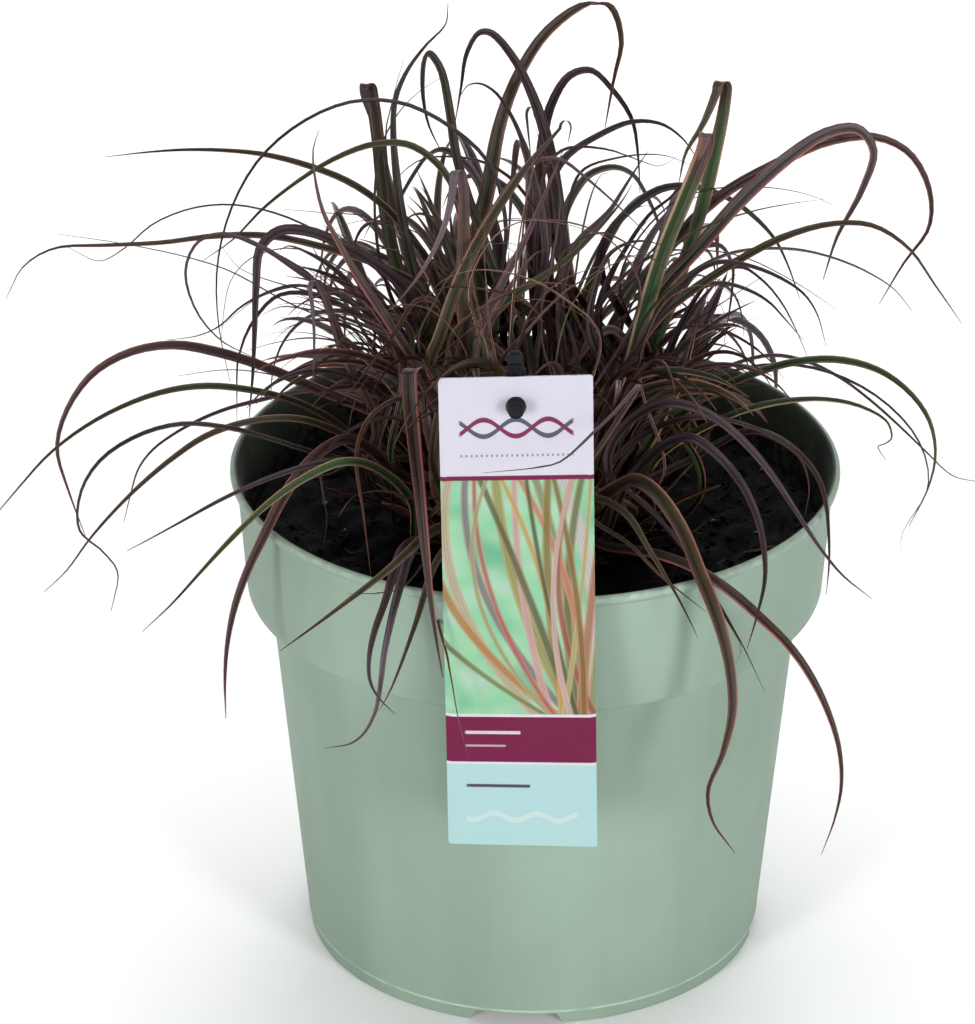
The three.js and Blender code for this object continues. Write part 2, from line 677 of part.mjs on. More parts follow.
// True where a leaf's station would lie in the pot's wall or in the soil
function meetsPot({ x, y, z }) {
  const radius = Math.hypot(x, y);
  if (z > POT_HEIGHT + RIM_CLEARANCE) return false;
  const outer = z > COLLAR_FOOT_HEIGHT - 2 * STEP_DROP ? RIM_RADIUS : bodyRadius(z);
  if (radius > outer + RIM_CLEARANCE) return false;
  const inner = collarRadius(z) - WALL - RIM_CLEARANCE;
  return radius > inner || z < SOIL_HEIGHT + SOIL_BUMP + 1;
}

// Room that two blades need between their midribs
function roomFor(blade, index) {
  return ROOM_SHARE * halfWidth(blade.width, index / (blade.stations.length - 1)) + ROOM_MARGIN;
}

function spreadPair(one, two) {
  let moved = false;
  for (let i = 0; i < one.stations.length - 1; i += 1) {
    for (let j = 0; j < two.stations.length - 1; j += 1) {
      const a = one.stations[i];
      const c = two.stations[j];
      if (a.distanceTo(c) < NEIGHBOUR_REACH) {
        const near = closest(a, one.stations[i + 1], c, two.stations[j + 1]);
        const lack = roomFor(one, i) + roomFor(two, j) - near.distance;
        if (lack > 0) {
          const first = a.clone().lerp(one.stations[i + 1], near.s).distanceTo(eye);
          const second = c.clone().lerp(two.stations[j + 1], near.t).distanceTo(eye);
          const sign = first > second ? 1 : -1;
          const step = sign * (SPREAD_STEP * lack + 0.1);
          push(one, i + Math.round(near.s), step);
          push(two, j + Math.round(near.t), -step);
          moved = true;
        }
      }
    }
  }
  return moved;
}

// Spreads the leaves in depth until none touches another or the pot
function keepApart(blades) {
  for (let round = 0; round < SPREAD_ROUNDS; round += 1) {
    let moved = false;
    for (let i = 0; i < blades.length; i += 1) {
      for (let j = i + 1; j < blades.length; j += 1) {
        moved = spreadPair(blades[i], blades[j]) || moved;
      }
    }
    blades.forEach((blade) => {
      for (let i = 3; i < blade.stations.length; i += 1) {
        const middle = blade.stations[i].clone().lerp(blade.stations[i - 1], 0.5);
        if (meetsPot(blade.stations[i]) || meetsPot(middle)) {
          push(blade, i, -RIM_STEP);
          moved = true;
        }
      }
    });
    if (!moved) return;
    blades.forEach(round < SETTLE_FROM * SPREAD_ROUNDS ? easeShift : moveStations);
  }
}

// Carries a geometry from the tag's own axes, with the hole's middle at the origin, to its place
function placeLikeTag(geometry, leanDeg) {
  const place = pointAt(TAG_HOLE_MARK, TAG_HOLE_DEPTH);
  geometry.rotateY(radians(-TAG_ROLL_DEG));
  geometry.rotateX(radians(-leanDeg));
  return geometry.translate(place.x, place.y, place.z);
}

// The card: its outline stands in X and Z, and its thickness is along Y
function makeTag() {
  const half = TAG_WIDTH / 2;
  const top = TAG_HOLE_DROP;
  const foot = TAG_HOLE_DROP - TAG_LENGTH;
  const c = TAG_CORNER;
  const card = new THREE.Shape();
  card.moveTo(-half + c, foot);
  card.lineTo(half - c, foot);
  card.absarc(half - c, foot + c, c, -Math.PI / 2, 0);
  card.lineTo(half, top - c);
  card.absarc(half - c, top - c, c, 0, Math.PI / 2);
  card.lineTo(-half + c, top);
  card.absarc(-half + c, top - c, c, Math.PI / 2, Math.PI);
  card.lineTo(-half, foot + c);
  card.absarc(-half + c, foot + c, c, Math.PI, 1.5 * Math.PI);
  const hole = new THREE.Path();
  hole.absarc(0, 0, TAG_HOLE_RADIUS, 0, 2 * Math.PI, true);
  card.holes.push(hole);
  const options = { depth: TAG_THICKNESS, bevelEnabled: false, curveSegments: 4 };
  const sheet = new THREE.ExtrudeGeometry(card, options);
  sheet.rotateX(Math.PI / 2);
  sheet.translate(0, TAG_THICKNESS / 2, 0);
  return placeLikeTag(sheet, TAG_LEAN_DEG);
}

// The stake's bar, behind the card: round head above, point below
function placedStake(margin) {
  const half = STAKE_WIDTH / 2 + margin;
  const foot = STAKE_HEAD - STAKE_LENGTH;
  const bar = new THREE.Shape();
  bar.moveTo(0, foot - 2 * margin);
  bar.lineTo(half, foot + STAKE_POINT);
  bar.lineTo(half, STAKE_HEAD - half);
  bar.absarc(0, STAKE_HEAD - half, half, 0, Math.PI);
  bar.lineTo(-half, foot + STAKE_POINT);
  const depth = STAKE_THICKNESS + 2 * margin;
  const back = TAG_THICKNESS / 2 + PEG_SHANK + STAKE_THICKNESS + margin;
  const stake = new THREE.ExtrudeGeometry(bar, { depth, bevelEnabled: false, curveSegments: 8 });
  stake.rotateX(Math.PI / 2);
  stake.translate(0, back, PEG_RISE);
  return placeLikeTag(stake, -STAKE_LEAN_DEG);
}

// The peg through the card's hole, and its cap in front of the card
function placedPeg(radius, from, to) {
  const peg = new THREE.CylinderGeometry(radius, radius, to - from, 20);
  peg.translate(0, -(from + to) / 2, PEG_RISE);
  return placeLikeTag(peg, TAG_LEAN_DEG);
}

function makeStake() {
  const front = TAG_THICKNESS / 2 + 3 * GAP;
  const stem = toSolid(placedPeg(PEG_RADIUS, -PEG_SHANK - STAKE_THICKNESS / 2, front + PEG_CAP_LENGTH / 2));
  const cap = toSolid(placedPeg(PEG_CAP_RADIUS, front, front + PEG_CAP_LENGTH));
  return toGeometry(toSolid(placedStake(0)).add(stem).add(cap));
}

addMesh('pot', makePot(), 0x93a899, 0.45);
addMesh('soil', makeSoil(), 0x17110d, 0.95);
addMesh('crown', makeCrown(), 0x3b3a24, 0.8);

addMesh('tag', makeTag(), 0xdfe3ea, 0.35);
addMesh('tag_stake', makeStake(), 0x14161a, 0.4);

const blades = layOutBlades();
keepApart(blades);
blades.forEach((blade) => addMesh(blade.name, makeBlade(blade), 0x4a2a2a, 0.5));

export default group;
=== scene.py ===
"""The looks of a potted red hook sedge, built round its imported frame.

Shapes are worked out in millimetres in the frame's axes, and become metres when a mesh is made.
"""

import math
import random

import bmesh
import bpy
import numpy as np
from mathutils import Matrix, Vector, geometry, noise


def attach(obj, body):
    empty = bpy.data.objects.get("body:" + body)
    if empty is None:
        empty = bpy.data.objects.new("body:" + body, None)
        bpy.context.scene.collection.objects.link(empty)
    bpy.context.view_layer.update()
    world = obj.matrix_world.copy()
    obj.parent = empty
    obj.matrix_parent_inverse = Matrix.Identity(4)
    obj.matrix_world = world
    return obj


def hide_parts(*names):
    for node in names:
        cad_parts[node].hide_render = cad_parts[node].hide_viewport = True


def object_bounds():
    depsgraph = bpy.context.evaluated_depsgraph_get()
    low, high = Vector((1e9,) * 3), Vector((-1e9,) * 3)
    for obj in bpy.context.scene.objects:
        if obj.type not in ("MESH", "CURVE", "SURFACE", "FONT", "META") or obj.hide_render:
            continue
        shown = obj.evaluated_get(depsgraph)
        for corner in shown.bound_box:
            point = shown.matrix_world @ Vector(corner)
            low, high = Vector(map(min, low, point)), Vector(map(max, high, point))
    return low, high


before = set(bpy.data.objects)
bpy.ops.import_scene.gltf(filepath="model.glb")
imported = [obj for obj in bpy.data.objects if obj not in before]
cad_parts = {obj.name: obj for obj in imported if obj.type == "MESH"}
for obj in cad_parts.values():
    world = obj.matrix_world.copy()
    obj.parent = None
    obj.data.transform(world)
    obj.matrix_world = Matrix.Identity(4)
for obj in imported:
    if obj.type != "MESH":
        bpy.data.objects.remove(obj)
cad_low, cad_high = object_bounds()

MM = 0.001
BODY = "root"

# The picture's view: eye place, aim and enlargement
PICTURE_WIDTH = 975
PICTURE_HEIGHT = 1024
VIEW_TILT = math.radians(26.44)
VIEW_DISTANCE = 1525
VIEW_FOCAL = 4868
VIEW_AIM = np.array([-14.8, 0, 143.1])
VIEW_SCALE = VIEW_FOCAL / VIEW_DISTANCE
SENSOR = 36
EYE = np.array([
    0,
    -VIEW_DISTANCE * math.cos(VIEW_TILT),
    VIEW_AIM[2] + VIEW_DISTANCE * math.sin(VIEW_TILT),
])
AHEAD = (VIEW_AIM - EYE) / np.linalg.norm(VIEW_AIM - EYE)
RIGHTWARD = np.cross(AHEAD, (0, 0, 1)) / np.linalg.norm(np.cross(AHEAD, (0, 0, 1)))
UPWARD = np.cross(RIGHTWARD, AHEAD)

# Pot
RIM_RADIUS = 95
POT_HEIGHT = 161.3
COLLAR_TOP_RADIUS = 92.9
COLLAR_TOP_HEIGHT = 157.1
COLLAR_FOOT_RADIUS = 90.4
COLLAR_FOOT_HEIGHT = 121.5
BODY_TOP_RADIUS = 83.2
BODY_TOP_HEIGHT = 118.5
BODY_FOOT_RADIUS = 72.8
FOOT_RADIUS = 72.2
FOOT_BAND_HEIGHT = 4.7
WALL = 1.4
POT_SIDES = 180
CHANNEL_INNER_RADIUS = 22
CHANNEL_OUTER_RADIUS = 60
CHANNEL_HEIGHT = 3.8
CHANNEL_SLOPE = 2.5
NOTCH_WIDTH = 30
NOTCH_COUNT = 4
NOTCH_TURN = math.radians(-94)
DRAIN_COUNT = 8
DRAIN_RADIUS = 4.5
DRAIN_RING_RADIUS = 41
SHARP_ANGLE = math.radians(35)
STAKE_SHARP_ANGLE = math.radians(40)

# Soil and clump
SOIL_HEIGHT = 139
SOIL_BUMP = 1.6
SOIL_RADIUS = 89.4
CROWN_RADIUS = 38
CROWN_HEIGHT = 21
CROWN_FOOT = SOIL_HEIGHT + 0.3

# Tag and stake
TAG_WIDTH = 44.6
TAG_LENGTH = 151
TAG_THICKNESS = 0.6
TAG_CORNER = 0.9
TAG_LEAN = math.radians(3.3)
TAG_ROLL = math.radians(1)
TAG_TWIST_TOP = math.radians(1.7)
TAG_TWIST_FOOT = math.radians(-4)
TAG_HOLE_RADIUS = 3
TAG_HOLE_DROP = 9.3
TAG_FOOT = TAG_HOLE_DROP - TAG_LENGTH
TAG_BOW = 1.1
TAG_GRID = 2.5
TAG_HOLE_MARK = (516, 406.5)
TAG_HOLE_DEPTH = -94
STAKE_WIDTH = 5.6
STAKE_THICKNESS = 3
STAKE_HEAD = 15.2
STAKE_LENGTH = 152
STAKE_POINT = 16
STAKE_LEAN = math.radians(7.5)
PEG_RADIUS = 1.9
PEG_SHANK = 2.6
PEG_RISE = 0.8

# Studio: the floor's outline runs from its raised edge to its middle. Its glow starts and is full
# at squares of the distance from the pot's axis, in square metres.
FLOOR_OUTLINE = [(4720, 1100), (4700, 300), (4600, 120), (4420, 30), (4200, 0), (300, 0), (0, 0)]
FLOOR_SIDES = 96
FAR_GLOW = 0.75
GLOW_START = 0.8
GLOW_FULL = 4.0
WORLD_STRENGTH = 0.075

# Softboxes: place and aim in metres, width and height in metres, and power in watts
SOFTBOXES = {
    "softbox_left": ((-0.95, -1.3, 0.35), (0, 0, 0.13), (0.35, 0.7), 18),
    "softbox_right": ((0.95, -1.3, 0.35), (0, 0, 0.13), (0.35, 0.7), 19.5),
    "softbox_front": ((0.1, -1.9, 0.4), (0, 0, 0.13), (1.0, 0.8), 3),
    "softbox_back": ((0.3, 1.8, 0.7), (0, 0, 0.13), (1.2, 0.8), 12),
    "softbox_top": ((0, 0.8, 2.1), (0, 0.1, 0), (2.4, 2.0), 44),
}

# Seeds of the random draws that no table gives
SHEATH_SEED = 5
FRAME_LEAF_SEED = 11
SEEN_LEAF_SEED = 23


# Places in the picture and in space
def ray_through(mark):
    """The way from the eye through a mark of the picture."""
    return (
        AHEAD * VIEW_FOCAL
        + RIGHTWARD * (mark[0] - PICTURE_WIDTH / 2)
        + UPWARD * (PICTURE_HEIGHT / 2 - mark[1])
    )


def at_depth(mark, depth):
    """The point that shows at a mark of the picture and lies at a depth along +Y."""
    ray = ray_through(mark)
    return EYE + ray * (depth - EYE[1]) / ray[1]


def in_picture(points):
    """Where points show in the picture."""
    away = np.asarray(points) - EYE
    ahead = away @ AHEAD
    across = PICTURE_WIDTH / 2 + VIEW_FOCAL * (away @ RIGHTWARD) / ahead
    down = PICTURE_HEIGHT / 2 - VIEW_FOCAL * (away @ UPWARD) / ahead
    return np.stack([across, down], axis=1)


def ease(value, low, high):
    """0 below low, 1 above high, and smooth between."""
    share = np.clip((np.asarray(value, float) - low) / (high - low), 0, 1)
    return share * share * (3 - 2 * share)


def unit(vectors):
    vectors = np.asarray(vectors, float)
    return vectors / np.linalg.norm(vectors, axis=-1, keepdims=True)


def on_circle(radius, turn):
    return radius * math.cos(turn), radius * math.sin(turn)


def spun(first, second, turn):
    """Two coordinates turned about the axis across both."""
    return (
        first * math.cos(turn) - second * math.sin(turn),
        first * math.sin(turn) + second * math.cos(turn),
    )


# Node building
def paint(code):
    """A colour for a socket, from six hexadecimal digits as a screen shows it."""
    parts = [int(code[i:i + 2], 16) / 255 for i in (0, 2, 4)]
    light = [((c + 0.055) / 1.055) ** 2.4 if c > 0.04045 else c / 12.92 for c in parts]
    return (*light, 1)


class Value:
    """An output of a finish's nodes. Sums on it add Math nodes."""

    def __init__(self, finish, socket):
        self.finish = finish
        self.socket = socket

    def maths(self, operation, *values):
        inputs = dict(enumerate(values))
        return self.finish.node("Math", {"operation": operation}, inputs)

    def __add__(self, other):
        return self.maths("ADD", self, other)

    def __sub__(self, other):
        return self.maths("SUBTRACT", self, other)

    def __rsub__(self, other):
        return self.maths("SUBTRACT", other, self)

    def __mul__(self, other):
        return self.maths("MULTIPLY", self, other)

    def __truediv__(self, other):
        return self.maths("DIVIDE", self, other)

    def __abs__(self):
        return self.maths("ABSOLUTE", self)

    __radd__ = __add__
    __rmul__ = __mul__

    def wave(self):
        return self.maths("SINE", self)

    def ease(self, low, high):
        """0 at low, 1 at high, and smooth between. Low may be the larger one."""
        settings = {"interpolation_type": "SMOOTHSTEP"}
        inputs = {"Value": self, "From Min": low, "From Max": high}
        return self.finish.node("MapRange", settings, inputs)


class Finish:
    """A material in the making, with its nodes and its Principled shader."""

    def __init__(self, name, **constants):
        self.material = bpy.data.materials.new(name)
        self.material.use_nodes = True
        self.tree = self.material.node_tree
        self.shader = self.tree.nodes["Principled BSDF"]
        for socket, value in constants.items():
            self.shader.inputs[socket.replace("_", " ")].default_value = value

    def node(self, kind, settings=None, inputs=None, output=0):
        """One of a new node's outputs. Its settings come first, then its inputs' values or links."""
        made = self.tree.nodes.new("ShaderNode" + kind)
        for name, value in (settings or {}).items():
            if name == "stops":
                self.set_stops(made.color_ramp, value)
            else:
                setattr(made, name, value)
        for name, value in (inputs or {}).items():
            self.feed(made.inputs[name], value)
        return Value(self, made.outputs[output])

    def feed(self, socket, value):
        """Links a value to a socket, or sets the socket to a number or to a colour's code."""
        if isinstance(value, Value):
            self.tree.links.new(value.socket, socket)
        else:
            socket.default_value = paint(value) if isinstance(value, str) else value

    @staticmethod
    def set_stops(ramp, stops):
        while len(ramp.elements) < len(stops):
            ramp.elements.new(1)
        for element, (place, code) in zip(ramp.elements, stops):
            element.position = place
            element.color = paint(code)

    def set(self, socket, value):
        self.feed(self.shader.inputs[socket], value)

    def mix(self, share, first, second):
        """The first colour at share 0 and the second at share 1."""
        return self.node("Mix", {"data_type": "RGBA"}, {0: share, 6: first, 7: second}, 2)

    def ramp(self, value, *stops):
        """The colour at a value, from stops of a place and a colour's code."""
        return self.node("ValToRGB", {"stops": stops}, {0: value})

    def dim(self, colour, share):
        """A colour made darker by a share."""
        return self.node("VectorMath", {"operation": "SCALE"}, {0: colour, "Scale": share})

    def attribute(self, name, output=2):
        """A value that the mesh carries: output 0 is its colour, 2 its number and 3 its alpha."""
        return self.node("Attribute", {"attribute_name": name}, output=output)

    def place(self):
        """The place on the piece in metres."""
        return self.node("TexCoord", output=3)

    def height(self):
        return self.parts(self.place())[2]

    def stretched(self, share):
        """The place with its height taken by a share, for marks that run up or round a piece."""
        return self.node("Mapping", None, {"Vector": self.place(), "Scale": (1, 1, share)})

    def parts(self, vector):
        """The three numbers of a vector."""
        split = self.node("SeparateXYZ", None, {0: vector})
        return [Value(self, output) for output in split.socket.node.outputs]

    def noise(self, scale, detail=2.0, roughness=0.5, where=None):
        inputs = {"Scale": scale, "Detail": detail, "Roughness": roughness}
        inputs["Vector"] = where or self.place()
        return self.node("TexNoise", None, inputs)

    def bump(self, height, strength, distance):
        """Raises the surface by a height of 0 to 1, times a distance in millimetres."""
        inputs = {"Height": height, "Strength": strength, "Distance": distance * MM}
        self.set("Normal", self.node("Bump", None, inputs))


# Meshes
def add_piece(name, points, faces, finishes, stands_for=()):
    """A piece of the object, from points in millimetres and faces, on the only body."""
    mesh = bpy.data.meshes.new(name)
    mesh.from_pydata((np.asarray(points, float) * MM).tolist(), [], faces)
    for finish in finishes:
        mesh.materials.append(finish.material)
    mesh.polygons.foreach_set("use_smooth", [True] * len(mesh.polygons))
    mesh.update()
    piece = bpy.data.objects.new(name, mesh)
    bpy.context.scene.collection.objects.link(piece)
    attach(piece, BODY)
    if stands_for:
        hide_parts(*stands_for)
    return piece


def set_attribute(mesh, name, values):
    layer = mesh.attributes.new(name, "FLOAT", "POINT")
    layer.data.foreach_set("value", np.asarray(values, np.float32))


def sharpen(mesh, angle):
    """Marks as sharp every edge whose faces meet at more than an angle."""
    shape = bmesh.new()
    shape.from_mesh(mesh)
    for edge in shape.edges:
        edge.smooth = len(edge.link_faces) == 2 and edge.calc_face_angle(math.pi) < angle
    shape.to_mesh(mesh)
    shape.free()


def fix_normals(mesh):
    """Turns every face of a closed mesh outward."""
    shape = bmesh.new()
    shape.from_mesh(mesh)
    bmesh.ops.recalc_face_normals(shape, faces=shape.faces)
    shape.to_mesh(mesh)
    shape.free()


def skin_faces(rings, count, start=0):
    """The faces of a closed skin over rings of equally many points, with both ends shut."""
    faces = []
    for ring in range(rings - 1):
        low = start + count * ring
        high = low + count
        for i in range(count):
            j = (i + 1) % count
            faces.append([low + i, low + j, high + j, high + i])
    last = start + count * (rings - 1)
    faces.append(list(range(start, start + count))[::-1])
    faces.append(list(range(last, last + count)))
    return faces


def turned(profile, sides):
    """Turns a profile of (radius, height) points about the pot's axis. At radius 0 it has one point."""
    points = []
    columns = []
    for radius, height in profile:
        count = sides if radius else 1
        columns.append([len(points) + side % count for side in range(sides)])
        points += [(*on_circle(radius, 2 * math.pi * side / sides), height) for side in range(count)]
    faces = []
    for lower, upper in zip(columns, columns[1:]):
        for side in range(sides):
            after = (side + 1) % sides
            corners = [lower[side], lower[after], upper[after], upper[side]]
            faces.append(list(dict.fromkeys(corners)))
    return points, faces


# Finishes
def pot_finish():
    """Satin sage plastic with faint flow marks, fine scuffs, a paler rim that is partly wear and partly
    painted highlight, and a painted highlight along the top edge of the foot band.
    """
    plastic = Finish("sage_moulded_plastic", Specular_IOR_Level=0.16)
    height = plastic.height()
    cloud = plastic.noise(14, 3)
    flow = plastic.noise(30, 4, 0.6, plastic.stretched(0.12))
    grain = plastic.noise(900, 2)
    scuff = plastic.noise(160, 5, 0.7, plastic.stretched(3)).ease(0.66, 0.78)
    shade = (cloud * 0.5 + flow * 0.5).ease(0.3, 0.7)
    colour = plastic.mix(shade, "6D7E70", "788A7D")
    # Paler rim: partly wear, partly a painted highlight along the lip.
    rim = height.ease(0.1585, 0.1605) * plastic.noise(220, 3).ease(0.35, 0.75)
    colour = plastic.mix(rim * 0.3, colour, "AEBDB0")
    # Painted highlight: a thin paler line along the top edge of the foot band, where light catches it.
    foot_edge_highlight = abs(height - FOOT_BAND_HEIGHT * MM - 0.0002).ease(0.0006, 0.0002)
    colour = plastic.mix(foot_edge_highlight * plastic.noise(90, 3).ease(0.3, 0.6) * 0.4, colour, "B9CBBB")
    low_dust = height.ease(0.03, 0.0) * plastic.noise(70, 4).ease(0.45, 0.75)
    colour = plastic.mix(low_dust * 0.3, colour, "7C8A76")
    colour = plastic.mix(scuff * 0.14, colour, "A8B6A8")
    plastic.set("Base Color", colour)
    plastic.set("Roughness", 0.48 + 0.1 * flow + 0.1 * scuff + 0.04 * grain)
    plastic.bump(grain * 0.6 + flow * 0.4, 0.25, 0.06)
    return plastic


def lining_finish():
    """The pot's dark inside, with darker patches that gather towards the soil."""
    lining = Finish("dark_pot_lining", Specular_IOR_Level=0.35)
    cloud = lining.noise(60, 5, 0.65)
    colour = lining.mix(cloud.ease(0.35, 0.7), "2A3028", "434A3F")
    # Darker patches, more of them towards the soil.
    low_dark_patches = lining.noise(240, 4, 0.6) + lining.height().ease(0.158, 0.14) * 0.3
    colour = lining.mix(low_dark_patches.ease(0.72, 0.84), colour, "100C0A")
    lining.set("Base Color", colour)
    lining.set("Roughness", 0.5 + 0.25 * cloud)
    lining.bump(cloud, 0.3, 0.12)
    return lining


def soil_finish(name, dark, pale, speck):
    """Moist peat: near-black crumbs with browner fibres and a few dull specks."""
    peat = Finish(name, Specular_IOR_Level=0.08)
    coarse = peat.noise(160, 5, 0.7)
    fine = peat.noise(1300, 3, 0.6)
    colour = peat.mix(coarse.ease(0.35, 0.72), dark, pale)
    colour = peat.mix(fine.ease(0.62, 0.78) * 0.8, colour, speck)
    peat.set("Base Color", colour)
    peat.set("Roughness", 0.95 - 0.3 * coarse.ease(0.5, 0.8))
    peat.bump(coarse * 0.5 + fine * 0.5, 0.35, 0.3)
    return peat


def grit_finish():
    """Dull grey-white grains, stained by the peat round them."""
    grit = Finish("dusty_grit", Specular_IOR_Level=0.3)
    cloud = grit.noise(500, 4, 0.6)
    grit.set("Base Color", grit.mix(cloud.ease(0.3, 0.65), "453F39", "8B857B"))
    grit.set("Roughness", 0.85 + 0.1 * cloud)
    grit.bump(cloud, 0.5, 0.2)
    return grit


def leaf_finish():
    """A leaf blade. Its tones are greenness, warmth of the margins, bloom with painted sheen, and
    lightness.
    """
    leaf = Finish("sedge_leaf", Specular_IOR_Level=0.17)
    across = leaf.attribute("across")
    along = leaf.attribute("along")
    under = leaf.attribute("under")
    green, warm, bloom_sheen = leaf.parts(leaf.attribute("tones", output=0))
    lightness = leaf.attribute("tones", output=3)
    edge = abs(across)

    # Marks along the blade, which differ from leaf to leaf with its lightness
    streak_place = leaf.node("CombineXYZ", None, {
        0: across * 2.2 + lightness * 37, 1: along * 7, 2: lightness * 58,
    })
    streak = leaf.noise(2.2, 3, 0.6, streak_place)
    patch_place = leaf.node("CombineXYZ", None, {0: along * 6, 1: lightness * 31, 2: lightness * 53})
    patch = leaf.noise(1.0, 2, 0.5, patch_place)
    veins = (across * 17 + lightness * 20).wave() * 0.5 + 0.5
    slant = across * (lightness * 91).wave() * 1.4

    # The blade between its margins
    hue = green * (1.1 - along * 0.4) + (streak - 0.5) * 0.4 + (patch - 0.5) * 0.4
    middle = leaf.ramp(
        hue,
        (0.0, "2F1E25"),
        (0.25, "39251F"),
        (0.5, "3A301B"),
        (0.75, "31401E"),
        (1.0, "2E4A2B"),
    )
    ruddy = (warm * (1 - green)).ease(0.1, 0.55) * (0.25 + patch.ease(0.35, 0.65) * 0.6)
    middle = leaf.mix(ruddy, middle, "4B2A26")
    # Painted sheen: top sides turn purple-grey further along the blade, standing in for the reflection of
    # the bright surroundings.
    sheen_along = (along - green * green * 0.6).ease(0.0, 0.35)
    painted_sheen = bloom_sheen * (1 - under * 0.8) * sheen_along * (0.35 + patch.ease(0.3, 0.7) * 0.65)
    middle = leaf.mix(painted_sheen * 0.6, middle, "564C55")
    middle = leaf.mix(under * (1 - green) * 0.3, middle, "46392F")
    wine = slant.ease(-0.1, -0.8) * (0.75 - green * 0.5)
    colour = leaf.mix(wine, middle, "40272D")
    groove = edge.ease(0.2, 0.03)
    shade = (0.3 + lightness * 0.87) * (1 - groove * 0.45) * (0.84 + veins * 0.3)
    colour = leaf.dim(colour, shade)
    # Painted highlight: fine pale streaks along the flanks.
    highlight_line = abs(edge - 0.6).ease(0.16, 0.03) * streak.ease(0.42, 0.6)
    colour = leaf.mix(highlight_line * (0.04 + bloom_sheen * 0.3 + green * 0.12), colour, "77706C")
    # Painted sheen where a blade folds over, mostly on its top side.
    fold_sheen = bloom_sheen.ease(0.8, 1.0) * sheen_along * (1 - under * 0.5) * (0.15 + streak * 0.3)
    colour = leaf.mix(fold_sheen, colour, "514E55")

    # Margins: a thin line on both, and on some leaves a broad one on one side
    margin_colour = leaf.ramp(
        warm + (patch - 0.5) * 0.35,
        (0.0, "6E2F3A"),
        (0.3, "964248"),
        (0.5, "9C5C53"),
        (0.7, "A2785F"),
        (0.9, "A98F76"),
    )
    margin_colour = leaf.dim(margin_colour, 0.58 + lightness * 0.5)
    strength = warm * 1.2 + patch.ease(0.3, 0.7) * 0.3
    broad = slant.ease(0.72, 1.04) * strength.ease(0.1, 1) * 0.9
    thin = (edge + warm * 0.16).ease(0.81, 0.98) * strength.ease(0.1, 0.85) * 0.9
    thin = thin * (0.4 + slant.ease(-0.9, 0.4) * 0.6)
    margin = broad + thin - broad * thin
    colour = leaf.mix(margin * (0.75 + streak * 0.25), colour, margin_colour)

    # The brown foot and the dry tip
    foot = along.ease(0.14, 0.0)
    colour = leaf.mix(foot * 0.6, colour, "2E2716")
    dry = along.ease(0.88, 1.0) * patch.ease(0.35, 0.6)
    colour = leaf.mix(dry * 0.6, colour, "5A3D30")
    leaf.set("Base Color", colour)
    leaf.set("Roughness", 0.34 + 0.14 * streak + 0.14 * painted_sheen + 0.12 * under)
    leaf.bump(veins * (1 - margin) + streak * 0.6, 0.4, 0.14)
    return leaf


def straw_finish():
    """Dead leaf scraps and frayed sheaths."""
    straw = Finish("dry_sheath", Specular_IOR_Level=0.3)
    lines = straw.noise(300, 3, 0.6, straw.stretched(0.15))
    colour = straw.ramp(
        lines,
        (0.25, "251A13"),
        (0.5, "43321F"),
        (0.75, "66523A"),
    )
    straw.set("Base Color", colour)
    straw.set("Roughness", 0.7 + 0.2 * lines)
    straw.bump(lines, 0.5, 0.2)
    return straw


def stake_finish():
    """Blue-black moulded plastic with a soft shine and fine scratches."""
    black = Finish("black_stake_plastic", Specular_IOR_Level=0.12)
    cloud = black.noise(120, 3)
    scratch = black.noise(700, 4, 0.7, black.stretched(0.1)).ease(0.6, 0.75)
    black.set("Base Color", black.mix(cloud, "07070C", "0D0E15"))
    black.set("Roughness", 0.5 + 0.12 * cloud + 0.16 * scratch)
    black.bump(scratch + cloud * 0.5, 0.2, 0.06)
    return black


# Print on the card: heights in millimetres above the card's foot, and colours
MINT_TOP = 27.2
BAND_FOOT = 28.0
BAND_TOP = 43.0
PICTURE_FOOT = 43.9
PICTURE_TOP = 118.9
RULE_TOP = 120.3
HEADER_WAVE = 135.2
HEADER_DOTS = 126.6
PRINT_BLUR = 0.1
PRINT_WHITE = "F3F2F8"
PRINT_CRIMSON = "800E48"

# Blades of the printed pattern: foot, top, bend and half width as shares of the card's width, and
# colour
PRINTED_BLADES = [
    (0.98, 0.80, 0.10, 0.040, "D6CDD0"),
    (0.60, 0.05, -0.22, 0.036, "C9B79A"),
    (0.90, 0.62, 0.06, 0.034, "8B9A78"),
    (0.86, 0.36, -0.10, 0.040, "A7A05E"),
    (0.96, 1.04, 0.05, 0.034, "8F9C68"),
    (0.82, 0.16, -0.20, 0.030, "87808A"),
    (0.70, 0.48, -0.06, 0.024, "DDB2AF"),
    (0.88, 0.92, -0.08, 0.030, "6F7B4C"),
    (0.74, -0.08, -0.30, 0.034, "C08A4E"),
    (0.93, 0.52, 0.12, 0.026, "D98C72"),
    (0.80, 0.70, -0.05, 0.032, "8E7E3E"),
    (0.66, -0.30, -0.42, 0.026, "7D8F5A"),
    (0.84, 0.26, 0.02, 0.028, "5E6A40"),
    (0.99, 0.86, -0.16, 0.022, "A85C4A"),
    (0.77, 0.40, 0.10, 0.020, "D8B46A"),
    (0.90, 1.10, -0.02, 0.030, "B47A5C"),
    (0.72, 0.22, -0.14, 0.018, "C4716A"),
    (0.87, 0.56, -0.03, 0.018, "4F5F38"),
    (0.79, 0.98, 0.02, 0.016, "C9C188"),
    (0.92, 0.74, 0.05, 0.022, "93703C"),
    (0.69, 0.30, -0.26, 0.016, "B3B487"),
    (0.83, 0.86, -0.12, 0.016, "E3C3BE"),
]


